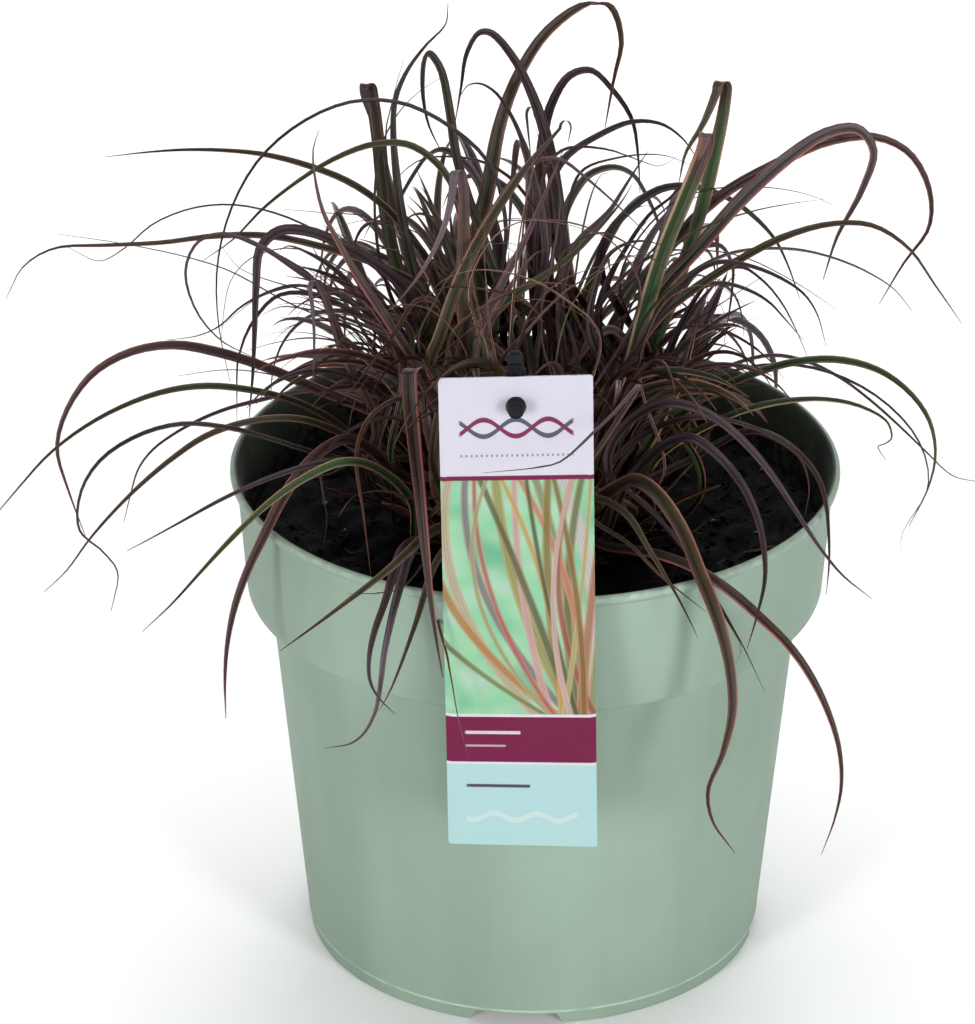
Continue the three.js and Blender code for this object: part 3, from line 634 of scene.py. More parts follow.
def printed_pattern(card, across, share):
    """A soft mint ground with curved blades on it, each with pale rims and a dark crease."""
    place = card.node("CombineXYZ", None, {0: across, 1: share * 3.4, 2: 0.0})
    blur = card.noise(4.5, 1, 0.4, place)
    picture = card.ramp(
        blur,
        (0.3, "8FDDB0"),
        (0.5, "A9E3B6"),
        (0.7, "BFE5CE"),
    )
    picture = card.mix(card.noise(2.6, 1, 0.4, place).ease(0.5, 0.72) * 0.65, picture, "57B58B")
    rise = (share * TAG_LENGTH - PICTURE_FOOT) / (PICTURE_TOP - PICTURE_FOOT)
    for foot, top, bend, half, code in PRINTED_BLADES:
        middle = foot + (top - foot) * rise + bend * 4 * rise * (1 - rise)
        off = abs(across - middle)
        width = half * (1.1 - rise * 0.35)
        body = (off - width).ease(0.01, -0.008)
        rim = body * (off - width * 0.72).ease(-0.006, 0.006)
        crease = body * abs(off - width * 0.3).ease(0.005, 0.0)
        picture = card.mix(body * 0.88, picture, code)
        picture = card.mix(rim * 0.45, picture, "D9B08F")
        picture = card.mix(crease * 0.35, picture, "4C4A38")
    return picture


def print_finish():
    """The card's print: a pale header, a pattern of curved blades, a dark band and a mint foot."""
    card = Finish("printed_card", Specular_IOR_Level=0.2)
    across, share, _ = card.parts(card.node("UVMap", {"uv_map": "card"}))
    height = share * TAG_LENGTH

    def line(middle, half, swing=0, turns=1, start=0):
        """A level or wavy line between the card's side margins."""
        run = across.ease(0.12, 0.14) * across.ease(0.88, 0.86)
        off = abs(height - ((across * turns + start).wave() * swing + middle))
        return off.ease(half + 0.15, half - 0.1) * run

    header = card.mix(card.noise(25, 3).ease(0.3, 0.8) * 0.25, "ECEAF8", "E0DEEF")
    header = card.mix(line(HEADER_WAVE, 0.75, 2.6, 15, 0.4), header, "5B6072")
    header = card.mix(line(HEADER_WAVE, 0.75, 2.6, 15, 3.54), header, "8A2A58")
    dots = (across * 190).wave().ease(0.1, 0.5)
    header = card.mix(line(HEADER_DOTS, 0.35) * dots, header, "9A9CAB")

    foot_panel = card.mix(line(20, 0.5) * across.ease(0.56, 0.55), "C3ECED", "5C4A60")
    foot_panel = card.mix(line(9.6, 0.9, 1.2, 22, 1), foot_panel, "DDF3F1")
    band = card.mix(line(37.8, 0.5) * across.ease(0.5, 0.49), PRINT_CRIMSON, "EFE3EC")
    band = card.mix(line(33.4, 0.3) * across.ease(0.4, 0.39), band, "D8B9CC")

    printed = foot_panel
    for start, colour in (
        (MINT_TOP, PRINT_WHITE),
        (BAND_FOOT, band),
        (BAND_TOP, PRINT_WHITE),
        (PICTURE_FOOT, printed_pattern(card, across, share)),
        (PICTURE_TOP, PRINT_CRIMSON),
        (RULE_TOP, header),
    ):
        printed = card.mix(height.ease(start - PRINT_BLUR, start + PRINT_BLUR), printed, colour)
    blank = card.mix(card.noise(40, 3).ease(0.3, 0.8), "E4E4EC", "EDEDF3")
    card.set("Base Color", card.dim(card.mix(card.attribute("front"), blank, printed), 0.41))
    fine = card.noise(400, 3)
    card.set("Roughness", 0.32 + 0.14 * fine)
    card.bump(fine, 0.12, 0.05)
    return card


def floor_finish():
    """A pale matt floor with hardly any grain, lit evenly where it is far from the pot."""
    floor = Finish("pale_floor", Roughness=0.9, Specular_IOR_Level=0.1, Emission_Strength=FAR_GLOW)
    floor.set("Base Color", floor.mix(floor.noise(3, 3), "FBFBFB", "FDFDFD"))
    x, y, _ = floor.parts(floor.place())
    far = (x * x + y * y).ease(GLOW_START, GLOW_FULL)
    floor.set("Emission Color", floor.mix(far, "000000", "FFFFFF"))
    return floor


# Pot
def near(radius, height, *offsets):
    """Profile points a little out and up from one radius and height."""
    return [(radius + out, height + up) for out, up in offsets]


def straight_wall(foot, top, *shares):
    """Profile points at shares of the way from a foot to a top."""
    return [tuple(low + (high - low) * share for low, high in zip(foot, top)) for share in shares]


def pot_profile():
    """The pot's outline, from the axis under the base, up the outside and down the inside."""
    body_foot = (BODY_FOOT_RADIUS, FOOT_BAND_HEIGHT)
    body_top = (BODY_TOP_RADIUS, BODY_TOP_HEIGHT)
    collar_foot = (COLLAR_FOOT_RADIUS, COLLAR_FOOT_HEIGHT)
    collar_top = (COLLAR_TOP_RADIUS, COLLAR_TOP_HEIGHT)
    return [
        (0, 0),
        *near(CHANNEL_INNER_RADIUS - CHANNEL_SLOPE, 0, (-0.5, 0), (0, 0.25)),
        *near(CHANNEL_INNER_RADIUS, CHANNEL_HEIGHT, (-0.3, -0.3), (0.4, 0)),
        *near(CHANNEL_OUTER_RADIUS, CHANNEL_HEIGHT, (-0.4, 0), (0.3, -0.3)),
        *near(CHANNEL_OUTER_RADIUS + CHANNEL_SLOPE, 0, (0, 0.25), (0.5, 0)),
        *near(FOOT_RADIUS, 0, (-0.9, 0), (-0.25, 0.2), (0, 0.8)),
        *near(FOOT_RADIUS, FOOT_BAND_HEIGHT, (0, -0.9), (0.1, -0.5)),
        *near(*body_foot, (0, -0.15), (0.1, 0.15), (0.05, 0.6)),
        *straight_wall(body_foot, body_top, 0.1, 0.25, 0.4, 0.55, 0.7, 0.85, 0.97),
        *near(*body_top, (0.1, -0.3), (0.8, 0.25)),
        *near(*collar_foot, (-2.2, -1.7), (-1.1, -1.25), (-0.35, -0.6), (0, 0.3)),
        *straight_wall(collar_foot, collar_top, 0.15, 0.35, 0.55, 0.75, 0.93),
        *near(*collar_top, (0.15, 0.2)),
        *near(RIM_RADIUS, POT_HEIGHT, (-0.75, -3), (-0.2, -2.3), (0, -1.5), (-0.05, -0.8), (-0.3, -0.3)),
        *near(RIM_RADIUS, POT_HEIGHT, (-0.75, -0.04), (-1.3, 0), (-1.8, -0.15), (-2.1, -0.5), (-2.3, -1.1)),
        (COLLAR_TOP_RADIUS - WALL, COLLAR_TOP_HEIGHT),
        *near(COLLAR_FOOT_RADIUS - WALL, COLLAR_FOOT_HEIGHT, (0, 1), (-1.2, 0)),
        (BODY_TOP_RADIUS - WALL, BODY_TOP_HEIGHT + 0.8),
        (BODY_FOOT_RADIUS - WALL - 0.3, FOOT_BAND_HEIGHT + 1),
        (FOOT_RADIUS - WALL - 0.8, WALL),
        (CHANNEL_OUTER_RADIUS + CHANNEL_SLOPE + 0.8, WALL),
        (CHANNEL_OUTER_RADIUS + 0.8, CHANNEL_HEIGHT + WALL),
        (CHANNEL_INNER_RADIUS - 0.8, CHANNEL_HEIGHT + WALL),
        (CHANNEL_INNER_RADIUS - CHANNEL_SLOPE - 0.8, WALL),
        (0, WALL),
    ]


def cutting_block(turn):
    """A block that takes a notch out of the foot: narrower at its top, with rounded upper corners."""
    half = NOTCH_WIDTH / 2
    flank = [
        (half + 2, -CHANNEL_HEIGHT), (half + 0.3, 0), (half - 0.5, 0.8), (half - 1.9, 2.9),
        (half - 2.2, 3.3), (half - 2.8, 3.65), (half - 3.6, CHANNEL_HEIGHT),
    ]
    outline = flank + [(-across, height) for across, height in reversed(flank)]
    shape = bmesh.new()
    corners = [
        shape.verts.new(Vector((*spun(out, across, turn), height)) * MM)
        for out in (CHANNEL_OUTER_RADIUS + 1, FOOT_RADIUS + 6)
        for across, height in outline
    ]
    for face in skin_faces(2, len(outline)):
        shape.faces.new([corners[k] for k in face])
    bmesh.ops.recalc_face_normals(shape, faces=shape.faces)
    return shape


def cutting_rod(turn):
    """A rod that takes a drain hole out of the base."""
    shape = bmesh.new()
    radius = DRAIN_RADIUS * MM
    bmesh.ops.create_cone(shape, cap_ends=True, segments=32, radius1=radius, radius2=radius, depth=12 * MM)
    place = Vector((*on_circle(DRAIN_RING_RADIUS, turn), CHANNEL_HEIGHT)) * MM
    bmesh.ops.translate(shape, verts=shape.verts, vec=place)
    return shape


def cut_away(piece, shapes):
    """Takes shapes out of a piece, one after the other."""
    for shape in shapes:
        mesh = bpy.data.meshes.new("cutter")
        shape.to_mesh(mesh)
        shape.free()
        cutter = bpy.data.objects.new("cutter", mesh)
        bpy.context.scene.collection.objects.link(cutter)
        cut = piece.modifiers.new("cut", "BOOLEAN")
        cut.operation = "DIFFERENCE"
        cut.solver = "EXACT"
        cut.object = cutter
        bpy.context.view_layer.update()
        settled = bpy.data.meshes.new_from_object(
            piece.evaluated_get(bpy.context.evaluated_depsgraph_get())
        )
        piece.modifiers.clear()
        piece.data = settled
        bpy.data.objects.remove(cutter)


def make_pot():
    """The pot's shell, with its foot notched, its base drilled and its inside dark."""
    points, faces = turned(pot_profile(), POT_SIDES)
    pot = add_piece("pot_shell", points, faces, [pot_finish(), lining_finish()], ["pot"])
    notch_turns = [NOTCH_TURN + i * 2 * math.pi / NOTCH_COUNT for i in range(NOTCH_COUNT)]
    drain_turns = [2 * math.pi * (i + 0.5) / DRAIN_COUNT for i in range(DRAIN_COUNT)]
    cut_away(pot, [*map(cutting_block, notch_turns), *map(cutting_rod, drain_turns)])
    pot.data.name = "pot_shell"
    for face in pot.data.polygons:
        middle = face.center / MM
        outward = face.normal.x * middle.x + face.normal.y * middle.y
        face.material_index = int(outward < 0 and middle.z > 6 and middle.xy.length > CHANNEL_OUTER_RADIUS)
        face.use_smooth = True
    sharpen(pot.data, SHARP_ANGLE)


# Soil
SOIL_TURNS = 300
SOIL_RINGS = 110
LUMP_RISE = 0.25
FIBRE_STEPS = 6


def soil_surface(x, y):
    """The soil's height: the frame's coarse waves, with clods, crumbs and lumps on them."""
    ramp = float(ease(math.hypot(x, y), CROWN_RADIUS + 2, CROWN_RADIUS + 16))
    waves = math.sin(x * 0.21 + 1.3) * math.cos(y * 0.17) + 0.6 * math.sin(x * 0.47 - y * 0.39)
    clods = noise.fractal(Vector((x * 0.09, y * 0.09, 3.1)), 0.8, 2.1, 3)
    crumbs = noise.fractal(Vector((x * 0.38, y * 0.38, 7.7)), 0.6, 2.2, 4)
    lumps = max(0.0, noise.noise(Vector((x * 0.22, y * 0.22, 1.4))))
    return SOIL_HEIGHT + ramp * SOIL_BUMP * waves + 0.8 * clods + 0.35 * crumbs + 0.8 * lumps - 0.2


def make_soil():
    """The soil bed: an uneven top over a plain body that fills the pot."""
    foot = WALL + 0.3
    body = [
        (0, foot),
        (18, foot),
        (21, CHANNEL_HEIGHT + foot),
        (70.6, CHANNEL_HEIGHT + foot),
        (BODY_TOP_RADIUS - WALL - 0.5, BODY_TOP_HEIGHT + 1),
        (COLLAR_FOOT_RADIUS - WALL - 1.8, COLLAR_FOOT_HEIGHT + 1.4),
    ]
    top = [(SOIL_RADIUS * (SOIL_RINGS - i) / SOIL_RINGS, None) for i in range(SOIL_RINGS + 1)]
    points, faces = turned(body + top, SOIL_TURNS)
    points = [(x, y, soil_surface(x, y) if height is None else height) for x, y, height in points]
    finish = soil_finish("moist_peat", "141417", "222023", "33302F")
    add_piece("soil_bed", points, faces, [finish], ["soil"])


def lump_shape():
    """A small round lump as points and faces, to be pulled about."""
    shape = bmesh.new()
    bmesh.ops.create_icosphere(shape, subdivisions=1, radius=1)
    points = np.array([corner.co[:] for corner in shape.verts])
    faces = [[corner.index for corner in face.verts] for face in shape.faces]
    shape.free()
    return points, faces


def spread_place(draw, inner, outer):
    """A place between two rings round the pot's axis, all equally likely."""
    radius = math.sqrt(draw.uniform(inner ** 2, outer ** 2))
    return on_circle(radius, draw.uniform(0, 2 * math.pi))


def make_grains(name, finish, count, sizes, seed):
    """Lumps of many sizes that lie on the soil, each partly sunk in."""
    draw = random.Random(seed)
    shape, shape_faces = lump_shape()
    points = []
    faces = []
    for _ in range(count):
        x, y = spread_place(draw, 20, SOIL_RADIUS - 2.2)
        size = sizes[0] * (sizes[1] / sizes[0]) ** (draw.random() ** 2)
        stretch = np.array([draw.uniform(0.6, 1.2), draw.uniform(0.6, 1.2), draw.uniform(0.45, 0.9)])
        knobs = np.array([draw.uniform(0.72, 1.15) for _ in shape])
        lump = (shape * knobs[:, None] * stretch * size).T
        lump[:2] = spun(lump[0], lump[1], draw.uniform(0, math.pi))
        start = len(points)
        points.extend((lump.T + (x, y, soil_surface(x, y) + size * LUMP_RISE)).tolist())
        faces.extend([start + k for k in face] for face in shape_faces)
    add_piece(name, points, faces, [finish])


def make_fibres(name, finish, count, lengths, half_widths, seed, inner=14):
    """Thin bent slivers lying on the soil: peat fibres and scraps of bark or leaf."""
    draw = random.Random(seed)
    points = []
    faces = []
    for _ in range(count):
        x, y = spread_place(draw, inner, SOIL_RADIUS - 4)
        turn = draw.uniform(0, 2 * math.pi)
        bend = draw.uniform(-1.2, 1.2)
        length = draw.uniform(*lengths)
        half = draw.uniform(*half_widths)
        rise = draw.uniform(0, 0.25)
        faces += skin_faces(FIBRE_STEPS + 1, 4, len(points))
        for i in range(FIBRE_STEPS + 1):
            share = i / FIBRE_STEPS
            ahead_x, ahead_y = on_circle(1, turn + bend * (share - 0.5))
            if i:
                x += ahead_x * length / FIBRE_STEPS
                y += ahead_y * length / FIBRE_STEPS
            if math.hypot(x, y) > SOIL_RADIUS - 1.5:
                x, y = x * 0.96, y * 0.96
            taper = half * (1 - (2 * share - 1) ** 4 * 0.7)
            height = soil_surface(x, y) + 0.35 + half * 0.5 + rise * length * abs(share - 0.5)
            side = np.array([-ahead_y, ahead_x, 0]) * taper
            middle = np.array([x, y, height])
            above = middle + (0, 0, taper * 0.6)
            below = middle - (0, 0, taper * 0.5)
            points += [middle + side, above, middle - side, below]
    add_piece(name, points, faces, [finish])


def make_soil_cover():
    """What lies loose on the soil: crumbs, grit, fibres and dry scraps."""
    crumbs = soil_finish("peat_crumbs", "1A191B", "282527", "3C3734")
    fibres = soil_finish("peat_fibres", "100B09", "1F1612", "302319")
    make_grains("soil_crumbs", crumbs, count=1300, sizes=(0.4, 1.7), seed=41)
    make_grains("soil_grit", grit_finish(), count=16, sizes=(0.8, 1.7), seed=42)
    make_fibres("soil_fibres", fibres, count=170, lengths=(3, 13), half_widths=(0.2, 0.5), seed=43)
    make_fibres(
        "soil_scraps", straw_finish(), count=26, lengths=(5, 16), half_widths=(0.5, 1.4), seed=44, inner=36
    )


# Leaf blades: how many stations each kind has along it
HERO_STATIONS = 52
SMALL_STATIONS = 40
FILL_STATIONS = 30
SHEATH_STATIONS = 10
BEND_WEIGHT = 12
BAKE_MAP = "OFBake"

# A blade's section: places across its top and then back across its underside, as shares of its
# half width, with their lift and how much thinner the blade is there than along its middle
TOP_ACROSS = np.array([-1, -0.84, -0.5, -0.15, 0, 0.15, 0.5, 0.84, 1])
TOP_LIFT = np.array([0.08, 0.13, 0.08, -0.06, -0.12, -0.06, 0.08, 0.13, 0.08])
UNDER_THICKNESS = np.array([0.14, 0.2, 0.3, 0.42, 0.3, 0.2, 0.14])
TOP = len(TOP_ACROSS)
UNDER = len(UNDER_THICKNESS)
SECTION = TOP + UNDER
SECTION_ACROSS = np.concatenate([TOP_ACROSS, TOP_ACROSS[-2:0:-1]])
SECTION_LIFT = np.concatenate([TOP_LIFT, TOP_LIFT[-2:0:-1]])
SECTION_THICKNESS = np.concatenate([np.zeros(TOP), UNDER_THICKNESS])
SECTION_UNDER = np.concatenate([np.zeros(TOP), np.ones(UNDER)])

# How deep a blade's groove is, and a flattened one's, and the share of its width left at its tip
GROOVE = 1.6
FLAT_GROOVE = 1.1
THREAD = 0.05

# Tones of a leaf: greenness, warmth of its margins, bloom with its painted sheen, lightness
TONES = {
    "dark": (0.2, 0.15, 0.5, 0.3),
    "rust": (0.12, 0.6, 0.2, 0.42),
    "ink": (0.62, 0.16, 0.45, 0.25),
    "red": (0.3, 0.42, 0.2, 0.34),
    "flame": (0.66, 0.55, 0.2, 0.34),
    "strap": (0.55, 0.5, 0.05, 0.24),
    "olive": (0.64, 0.45, 0.15, 0.42),
    "moss": (0.8, 0.45, 0.1, 0.44),
    "leafy": (0.88, 0.6, 0.1, 0.42),
    "green": (1.0, 0.85, 0.2, 0.5),
    "yellow": (0.86, 0.85, 0.05, 0.8),
    "grey": (0.4, 0.3, 1.0, 0.78),
    "purple": (0.05, 0.2, 0.8, 0.38),
    "steel": (0.75, 0.45, 0.8, 0.5),
    "tan": (0.4, 1.5, 0.6, 0.8),
}


def smooth_line(points, steps=30):
    """A fine line that passes through all the points, without overshoot."""
    points = np.asarray(points, float)
    gaps = np.sqrt(np.linalg.norm(np.diff(points, axis=0), axis=1))
    slopes = np.gradient(points, np.concatenate([[0], np.cumsum(gaps)]), axis=0)
    t = (np.arange(steps) / steps)[:, None]
    line = []
    for i, gap in enumerate(gaps):
        line.append(
            (2 * t ** 3 - 3 * t ** 2 + 1) * points[i]
            + (t ** 3 - 2 * t ** 2 + t) * gap * slopes[i]
            + (3 * t ** 2 - 2 * t ** 3) * points[i + 1]
            + (t ** 3 - t ** 2) * gap * slopes[i + 1]
        )
    return np.concatenate([*line, points[-1:]])


def stations_on(line, count):
    """Stations on a fine line, evenly by length but closer together where it bends."""
    steps = np.diff(line, axis=0)
    lengths = np.maximum(np.linalg.norm(steps, axis=1), 1e-6)
    heads = steps / lengths[:, None]
    bends = np.arccos(np.clip((heads[1:] * heads[:-1]).sum(1), -1, 1))
    load = np.concatenate([[0], np.cumsum(lengths + BEND_WEIGHT * np.concatenate([[0], bends]))])
    wanted = np.linspace(0, load[-1], count)
    return np.stack([np.interp(wanted, load, line[:, k]) for k in range(3)], axis=1)


def steady(values, reach):
    """Running means of values."""
    padded = np.concatenate([np.full(reach, values[0]), values, np.full(reach, values[-1])])
    return np.convolve(padded, np.ones(2 * reach + 1) / (2 * reach + 1), "valid")


def blade_turns(stations, heads, across, shown, draw):
    """How far the blade turns about its own line.

    It turns towards the eye only so far that it shows the wanted share of its width there.
    """
    over = np.cross(heads, across)
    wanted = np.cross(heads, unit(stations - EYE))
    clear = (wanted ** 2).sum(1)
    twice = 2 * np.arctan2((wanted * over).sum(1), (wanted * across).sum(1))
    twice = np.arctan2(steady(clear * np.sin(twice), 3), steady(clear * np.cos(twice), 3))
    turns = np.unwrap(twice) / 2
    turns -= math.pi * round(float(turns.mean()) / math.pi)
    slack = math.acos(min(1.0, shown))
    turns = steady(turns - np.clip(turns, -slack, slack), 3)
    share = np.linspace(0, 1, len(turns))
    swing = draw.uniform(-1, 1) * (0.05 + 0.5 * (1 - shown))
    wander = draw.uniform(-1, 1) * (0.15 + 0.7 * (1 - shown))
    return turns + swing + wander * share ** 1.5


def blade_ways(stations, side, shown, draw):
    """The ways across the blade and over it at each station."""
    heads = unit(np.gradient(stations, axis=0))
    across = unit(side - (heads @ side)[:, None] * heads)
    over = np.cross(heads, across)
    turns = blade_turns(stations, heads, across, shown, draw)[:, None]
    return (
        np.cos(turns) * across + np.sin(turns) * over,
        np.cos(turns) * over - np.sin(turns) * across,
    )


def half_widths(along, width, taper, foot, draw):
    """Half the width along a blade: less at the foot, even to where it tapers, a thread at the tip."""
    swell = foot + (1 - foot) * ease(along, 0, 0.22)
    narrowing = ((along - taper) / (1 - taper)).clip(0, 1)
    fade = (1 - narrowing ** 1.3) * (1 - THREAD) + THREAD
    ripple = 1 + 0.03 * np.sin(along * draw.uniform(18, 40) + draw.uniform(0, 6))
    return 0.5 * width * swell * fade * ripple


def blade_tones(tones, width, near_fold, draw):
    """Tones at each station: a little off the wanted ones, and near a fold less green and warm, with more
    bloom and painted sheen.
    """
    green, warm, bloom_sheen, lightness = [tone + draw.uniform(-0.14, 0.14) for tone in tones]
    warm *= min(1, 0.4 + width / 4)
    tones = np.tile(np.clip([green, warm, bloom_sheen, lightness], 0, 1), (len(near_fold), 1))
    tones[:, 0] *= 1 - 0.8 * near_fold
    tones[:, 1] *= 1 - 0.6 * near_fold
    tones[:, 2] += (1 - tones[:, 2]) * near_fold
    return tones


class Blade:
    """One leaf blade as points in millimetres, with the values that its finish reads.

    Its full width shows only in part from the front. Where bent is over 0, its top is a fold.
    """

    def __init__(
        self, line, side, width, tones, shown, draw,
        taper=0.5, foot=0.62, groove=GROOVE, count=HERO_STATIONS, bent=0.0,
    ):
        stations = stations_on(smooth_line(line), count)
        lengths = np.concatenate([[0], np.cumsum(np.linalg.norm(np.diff(stations, axis=0), axis=1))])
        along = lengths / lengths[-1]
        top = stations[np.argmax(stations[:, 2])]
        near_fold = bent * ease(np.linalg.norm(stations - top, axis=1), 22, 3)
        across, over = blade_ways(stations, side, shown, draw)
        self.stations = stations
        self.half = half_widths(along, width, taper, foot, draw)
        half = self.half[:, None]
        depth = groove * (1 + 0.7 * ease(along, 0.15, 0) + 0.6 * ease(along, 0.6, 1))
        depth = (depth * (1 - 0.7 * ease(near_fold, 0, 0.3)))[:, None]
        lift = SECTION_LIFT * depth * half - SECTION_THICKNESS * np.minimum(1, 0.25 + half / 2.4)
        spans = SECTION_ACROSS * half
        points = stations[:, None] + spans[:, :, None] * across[:, None] + lift[:, :, None] * over[:, None]
        self.points = points.reshape(-1, 3)
        self.count = count
        self.across = np.tile(SECTION_ACROSS, count)
        self.under = np.tile(SECTION_UNDER, count)
        self.along = np.repeat(along, SECTION)
        self.tones = np.repeat(blade_tones(tones, width, near_fold, draw), SECTION, axis=0)


def blade_corners(count):
    """Where each face corner of a blade lies in its strip of the bake map: across, along and under."""
    corners = []
    for i in range(count - 1):
        low, high = i / (count - 1), (i + 1) / (count - 1)
        for j in range(SECTION):
            under = j >= TOP - 1
            ends = SECTION_ACROSS[j], SECTION_ACROSS[(j + 1) % SECTION]
            start, end = [(1 - place) / 2 if under else (1 + place) / 2 for place in ends]
            corners += [(start, low, under), (end, low, under), (end, high, under), (start, high, under)]
    for row, order in ((0, range(SECTION - 1, -1, -1)), (1, range(SECTION))):
        for j in order:
            corners.append((0.5 + 0.45 * SECTION_ACROSS[j], abs(row - 0.003 * (j >= TOP)), 0))
    return np.array(corners, float)


def add_blades(name, blades, finish, stands_for=()):
    """One piece of one or more blades, each with two strips of the bake map of its own."""
    count = blades[0].count
    corners = blade_corners(count)
    faces = []
    places = []
    for i, blade in enumerate(blades):
        faces += skin_faces(count, SECTION, i * count * SECTION)
        across = (2 * i + corners[:, 2] + 0.08 + 0.84 * corners[:, 0]) / (2 * len(blades))
        places.append(np.stack([across, 0.01 + 0.98 * corners[:, 1]], axis=1))
    points = np.concatenate([blade.points for blade in blades])
    mesh = add_piece(name, points, faces, [finish], stands_for).data
    for field in ("across", "along", "under"):
        set_attribute(mesh, field, np.concatenate([getattr(blade, field) for blade in blades]))
    layer = mesh.attributes.new("tones", "FLOAT_COLOR", "POINT")
    layer.data.foreach_set("color", np.concatenate([blade.tones for blade in blades]).ravel())
    mesh.uv_layers.new(name=BAKE_MAP).data.foreach_set("uv", np.concatenate(places).ravel())


def crown_point(turn, slope, lift=0.5):
    """A point just off the clump's dome, at a turn round it and a slope from its top."""
    height = CROWN_FOOT + (CROWN_HEIGHT + lift) * math.cos(slope)
    return np.array([*on_circle((CROWN_RADIUS + lift) * math.sin(slope), turn), height])


def heading(tilt, turn):
    """The way that leans by a tilt from upright towards a turn."""
    return np.array([*on_circle(math.sin(tilt), turn), math.cos(tilt)])


def frame_leaf(name):
    """A frame leaf's midline from foot to tip, and its full width, read from its rings of four."""
    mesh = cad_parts[name].data
    places = np.array([corner.co[:] for corner in mesh.vertices]) / MM
    corners, same = np.unique(np.round(places, 4), axis=0, return_inverse=True)
    same = same.ravel()
    links = [set() for _ in corners]
    for edge in mesh.edges:
        a, b = (int(same[k]) for k in edge.vertices)
        links[a].add(b)
        links[b].add(a)
    foot = np.argmin(np.linalg.norm(corners - (0, 0, CROWN_FOOT), axis=1))
    ring = {int(k) for k in np.argsort(np.linalg.norm(corners - corners[foot], axis=1))[:4]}
    seen = set()
    middles = []
    widths = []
    while ring:
        held = corners[sorted(ring)]
        middles.append(held.mean(axis=0))
        widths.append(np.linalg.norm(held[:, None] - held[None], axis=2).max())
        seen |= ring
        ring = {k for i in ring for k in links[i]} - seen
    return np.array(middles), max(widths)


def side_of(line):
    """The level direction across a leaf's reach."""
    reach = line[-1] - line[0]
    return unit(np.array([-reach[1], reach[0], 0.0]) + 1e-9)


# How wide each of the frame's leaves shows from the front, its tone, and the share of its length
# where it starts to narrow, in the order of their numbers
FRAME_LOOKS = {
    "upper_left": [
        (2.3, "olive", 0.5), (2.4, "moss", 0.55), (1.8, "purple", 0.5), (2.0, "moss", 0.5),
        (4.2, "ink", 0.88), (4.4, "ink", 0.15), (3.2, "ink", 0.6), (2.0, "purple", 0.5),
        (3.2, "purple", 0.6), (1.1, "dark", 0.5), (0.9, "dark", 0.5),
    ],
    "top": [
        (4.4, "dark", 0.42), (4.6, "flame", 0.42), (3.6, "dark", 0.42), (2.8, "purple", 0.5),
        (2.4, "dark", 0.6), (2.2, "grey", 0.5), (2.8, "grey", 0.5),
    ],
    "right": [
        (4.2, "leafy", 0.66), (4.9, "green", 0.9), (4.4, "steel", 0.55), (3.3, "rust", 0.5),
        (2.8, "olive", 0.45), (1.4, "moss", 0.5), (1.8, "dark", 0.5), (1.8, "dark", 0.5),
        (2.8, "grey", 0.5),
    ],
    "lower_right": [
        (2.7, "leafy", 0.5), (2.4, "leafy", 0.5), (1.4, "dark", 0.5), (2.8, "purple", 0.45),
        (3.0, "dark", 0.5), (4.6, "strap", 0.5), (3.0, "olive", 0.5), (2.1, "dark", 0.5),
        (2.4, "moss", 0.45), (2.4, "dark", 0.5),
    ],
    "lower_left": [
        (3.3, "red", 0.5), (2.4, "olive", 0.5), (1.8, "dark", 0.5), (2.1, "olive", 0.5),
        (1.8, "dark", 0.5), (2.1, "dark", 0.5), (2.6, "yellow", 0.5), (3.3, "red", 0.5),
        (3.0, "olive", 0.5), (3.0, "dark", 0.45), (2.8, "grey", 0.45), (4.6, "strap", 0.55),
        (2.1, "olive", 0.45),
    ],
    "centre": [(2.8, "grey", 0.5)],
    "back": [(2.5, "dark", 0.5), (2.5, "olive", 0.5), (2.5, "rust", 0.5), (2.5, "dark", 0.5)],
}

# Leaves that fold over towards the eye: how far the folded part hides the rising one, and how
# much bloom and painted sheen show at the fold
FOLDS = {
    "leaf_upper_left_5": (0.3, 0.7),
    "leaf_right_2": (0.8, 1.0),
    "leaf_right_1": (0.0, 0.4),
    "leaf_lower_left_12": (0.0, 0.25),
}
FOLD_RADIUS = 2.6
FOLD_GAP = 2.4
FACING = np.array([1.0, 0, 0])


def folded(line, cover):
    """Bends a midline over in a small round arch at its highest mark, towards the eye.

    The part past the fold hangs in front of the rising part, and closer to it further down. Cover is
    how far it is also moved sideways to hide the rising part.
    """
    line = smooth_line(line, 12)
    marks = in_picture(line)
    top = int(np.argmin(marks[:, 1]))
    drop = (marks[:, 1] - marks[top, 1]) / VIEW_SCALE
    order = np.arange(len(line))
    rise_end = order[(order <= top) & (drop >= FOLD_RADIUS)][-1]
    fall_start = order[(order > top) & ((drop >= FOLD_RADIUS) | (order == order[-1]))][0]
    rising = np.interp(marks[:, 1], marks[top::-1, 1], marks[top::-1, 0])
    across = marks[:, 0] + (rising - marks[:, 0]) * cover
    gap = FOLD_GAP + (2 * FOLD_RADIUS - FOLD_GAP) * np.exp((FOLD_RADIUS - drop) / FOLD_RADIUS / 2)
    rising_depth = np.interp(marks[:, 1], marks[top::-1, 1], line[top::-1, 1])
    depths = np.minimum(line[:, 1], rising_depth) - gap
    fall = np.array([
        at_depth((x, y), depth)
        for x, y, depth in zip(across[fall_start:], marks[fall_start:, 1], depths[fall_start:])
    ])
    arch = []
    for turn in np.linspace(0, math.pi, 10)[1:-1]:
        share = (1 - math.cos(turn)) / 2
        lift = np.array([0, 0, FOLD_RADIUS * math.sin(turn)])
        arch.append(line[rise_end] * (1 - share) + fall[0] * share + lift)
    return np.concatenate([line[:rise_end + 1], arch, fall])


